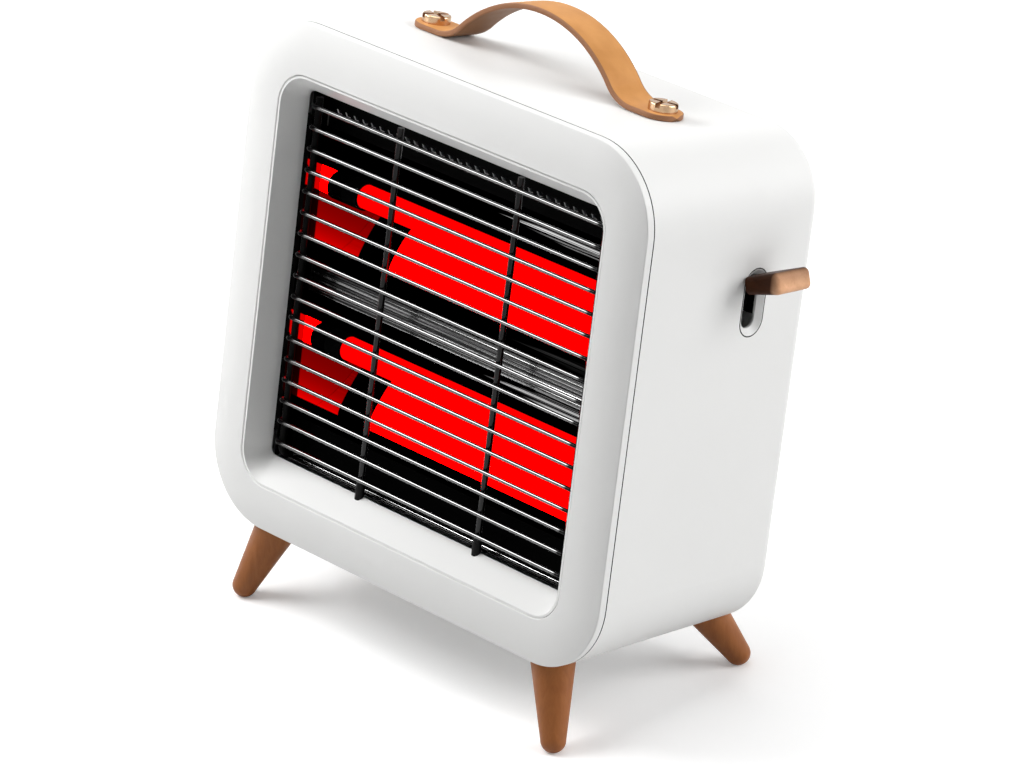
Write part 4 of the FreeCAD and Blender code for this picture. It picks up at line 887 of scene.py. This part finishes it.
@dataclass
class Strap:
    """Leather carrying strap, drawn as one closed skin along its arched line."""

    origin: Point = (HOUSING_MIDDLE, 0.0301057, 0.3105594)
    tilt: float = math.radians(12.5228)
    width: float = 0.024
    thickness: float = 0.0033
    rise: float = 0.031609
    bend_x: float = 0.073
    arch: float = 0.078
    end_x: float = 0.096
    edge: float = 0.0009
    stations: int = 260
    crowding: float = 0.35
    around: int = 48
    lobe: float = 0.28
    raw_from: float = 0.72
    painted_shade_below: float = -0.6

    def centre_line(self, x: np.ndarray) -> tuple[np.ndarray, np.ndarray]:
        """Height and slope of the strap's middle layer: an arch, a bend the other way, and a flat end.

        Args:
            x: positions along the strap, in metres from its middle.

        Returns:
            Heights above the top wall and slopes at x.
        """
        half = self.thickness / 2
        arch_mid = self.thickness + self.rise - self.arch
        gap = self.thickness - arch_mid
        bend = (self.arch ** 2 - self.bend_x ** 2 - gap ** 2) / (2 * (gap - self.arch))
        meet = self.bend_x * self.arch / (self.arch + bend)
        mid_arch = self.arch - half
        mid_bend = bend + half
        span = np.abs(x)
        on_arch = span <= meet * mid_arch / self.arch
        on_bend = (~on_arch) & (span < self.bend_x)
        lift = np.sqrt(np.clip(mid_arch ** 2 - span ** 2, 1e-12, None))
        away = np.clip(self.bend_x - span, 0.0, None)
        dip = np.sqrt(np.clip(mid_bend ** 2 - away ** 2, 1e-12, None))
        height = np.where(on_arch, arch_mid + lift, np.where(on_bend, self.thickness + bend - dip, half))
        slope = np.where(on_arch, -span / lift, np.where(on_bend, -away / dip, 0.0)) * np.sign(x)
        return height, slope

    def skin(self) -> tuple[np.ndarray, np.ndarray, dict[str, np.ndarray]]:
        """Vertices, faces and named zones: a rounded oblong section carried along the middle layer.

        Returns:
            Vertex positions, quad indices, and the share of each named zone per vertex.
        """
        turn = np.linspace(-np.pi / 2, np.pi / 2, self.stations)
        x = self.end_x * (self.crowding * np.sin(turn) + (1 - self.crowding) * turn / (np.pi / 2))
        height, slope = self.centre_line(x)
        normal = np.stack([-slope, np.ones_like(slope)], axis=1) / np.hypot(slope, 1.0)[:, None]
        half = self.width / 2
        from_tip = np.clip(self.end_x - np.abs(x), 0.0, half)
        spread = np.sqrt(np.clip(half ** 2 - (half - from_tip) ** 2, 1e-10, None))
        angle = np.linspace(0.0, 2 * np.pi, self.around, endpoint=False)
        across = np.sign(np.cos(angle)) * np.abs(np.cos(angle)) ** self.lobe
        through = np.sign(np.sin(angle)) * np.abs(np.sin(angle)) ** self.lobe
        side = spread[:, None] * across[None, :]
        lift = self.thickness / 2 * through[None, :] * np.minimum(1.0, spread[:, None] / self.edge)
        points = np.stack([x[:, None] + normal[:, :1] * lift, side,
                           height[:, None] + normal[:, 1:] * lift], axis=2)
        # The underside zone carries painted shade.
        zones = {"raw_edge": np.abs(np.cos(angle)) > self.raw_from,
                 "painted_shade_underside": np.sin(angle) < self.painted_shade_below}
        shares = {name: np.tile(zone.astype(np.float32), self.stations) for name, zone in zones.items()}
        row, column = np.meshgrid(np.arange(self.stations - 1), np.arange(self.around), indexing="ij")
        after = (column + 1) % self.around
        quads = np.stack([row * self.around + column, (row + 1) * self.around + column,
                          (row + 1) * self.around + after, row * self.around + after], axis=2).reshape(-1, 4)
        place = np.array(Matrix.Translation(Vector(self.origin)) @ Matrix.Rotation(-self.tilt, 4, "X"))
        return points.reshape(-1, 3) @ place[:3, :3].T + place[:3, 3], quads, shares

    def build(self) -> int:
        """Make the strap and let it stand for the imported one.

        Returns:
            Number of pieces made.
        """
        vertices, quads, shares = self.skin()
        mesh = bpy.data.meshes.new("leather_strap")
        mesh.from_pydata(vertices.tolist(), [], quads.tolist())
        mesh.polygons.foreach_set("use_smooth", np.ones(len(mesh.polygons), dtype=bool))
        for name, share in shares.items():
            mesh.attributes.new(name, "FLOAT", "POINT").data.foreach_set("value", share)
        mesh.materials.append(LEATHER.material())
        mesh.update()
        piece = bpy.data.objects.new("leather_strap", mesh)
        bpy.context.scene.collection.objects.link(piece)
        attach(piece, Body.BASE.value)
        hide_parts("carry_strap")
        LOG.info("%s in %s", piece.name, LEATHER.name)
        return 1


@dataclass(frozen=True)
class Lamp:
    """Rectangular soft light: where it hangs, what it faces, its size in metres and its power in watts."""

    name: str
    place: Point
    target: Point
    size: tuple[float, float]
    power: float

    def hang(self) -> None:
        """Add the light to the scene."""
        data = bpy.data.lights.new(self.name, "AREA")
        data.shape = "RECTANGLE"
        data.size, data.size_y = self.size
        data.energy = self.power
        lamp = bpy.data.objects.new(self.name, data)
        lamp.location = self.place
        aim = Vector(self.target) - Vector(self.place)
        lamp.rotation_euler = aim.to_track_quat("-Z", "Y").to_euler()
        bpy.context.scene.collection.objects.link(lamp)


@dataclass
class Studio:
    """Pale floor, soft lights, white surround and the camera of the photo."""

    eye: Point = (1.9323, -1.8140, 1.4110)
    azimuth: float = math.radians(46.909)
    elevation: float = math.radians(25.557)
    roll: float = math.radians(-0.687)
    lens: float = 194.78
    sensor: float = 36.0
    reach: float = 50.0
    floor_half: float = 6.0
    surround: float = 0.1
    backdrop: float = 0.95
    lamps: tuple[Lamp, ...] = (
        Lamp("key_light", (-0.8, -0.55, 0.95), (0.0, -0.05, 0.18), (0.9, 0.3), 12.5),
        Lamp("top_light", (-0.6, 0.0, 4.2), (0.0, 0.0, 0.2), (3.4, 3.4), 96.0),
        Lamp("side_light", (2.2, 1.8, 1.5), (0.0, 0.0, 0.2), (2.0, 2.0), 74.0))

    def floor(self) -> None:
        """Lay the pale floor."""
        half = self.floor_half
        corners = [(-half, -half, 0), (half, -half, 0), (half, half, 0), (-half, half, 0)]
        mesh = bpy.data.meshes.new("studio_floor")
        mesh.from_pydata(corners, [], [(0, 1, 2, 3)])
        pale = Ground("studio_floor", grey(1.0), grey(0.99), (0.5, 0.6), cloud=2.0, relief=0.0)
        mesh.materials.append(pale.material())
        plane = bpy.data.objects.new("studio_floor", mesh)
        bpy.context.scene.collection.objects.link(plane)

    def world(self) -> None:
        """Set the white surround, which the eye, metal and glass see brighter than it lights."""
        world = bpy.data.worlds.new("studio_world")
        world.use_nodes = True
        tree = Tree(world.node_tree)
        back = world.node_tree.nodes["Background"]
        path = tree.add("ShaderNodeLightPath").outputs
        bent = tree.math("MAXIMUM", path["Is Glossy Ray"], path["Is Transmission Ray"])
        seen = tree.math("MAXIMUM", path["Is Camera Ray"], bent)
        tree.fix(back, Color=(1.0, 1.0, 1.0, 1.0))
        tree.link(back, {"Strength": tree.remap(seen, 0.0, 1.0, self.surround, self.backdrop)})
        bpy.context.scene.world = world

    def camera(self) -> None:
        """Place the camera of the photo."""
        flat = math.cos(self.elevation)
        ahead = Vector((-math.sin(self.azimuth) * flat, math.cos(self.azimuth) * flat,
                        -math.sin(self.elevation)))
        level = ahead.cross(Vector((0, 0, 1))).normalized()
        rise = level.cross(ahead)
        right = level * math.cos(self.roll) + rise * math.sin(self.roll)
        up = right.cross(ahead)
        data = bpy.data.cameras.new("photo_camera")
        data.lens = self.lens
        data.sensor_width = self.sensor
        data.clip_end = self.reach
        eye = bpy.data.objects.new("photo_camera", data)
        turn = Matrix((right, up, -ahead)).transposed().to_4x4()
        eye.matrix_world = Matrix.Translation(Vector(self.eye)) @ turn
        bpy.context.scene.collection.objects.link(eye)
        bpy.context.scene.camera = eye

    def build(self) -> None:
        """Set up the whole studio."""
        self.floor()
        self.world()
        for lamp in self.lamps:
            lamp.hang()
        self.camera()
        bpy.context.scene.view_settings.view_transform = "Standard"


def main() -> None:
    """Dress the heater, build the strap and the studio, and log how many pieces each group dresses."""
    logging.basicConfig(level=logging.INFO, format="%(name)s: %(message)s")
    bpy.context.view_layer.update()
    groups = (Housing(), Legs(), Grille(), HeaterUnit(), Toggle(), Works(), Strap())
    for group in groups:
        LOG.info("%s: %d pieces", type(group).__name__, group.build())
    Studio().build()


if __name__ == "__main__":
    main()
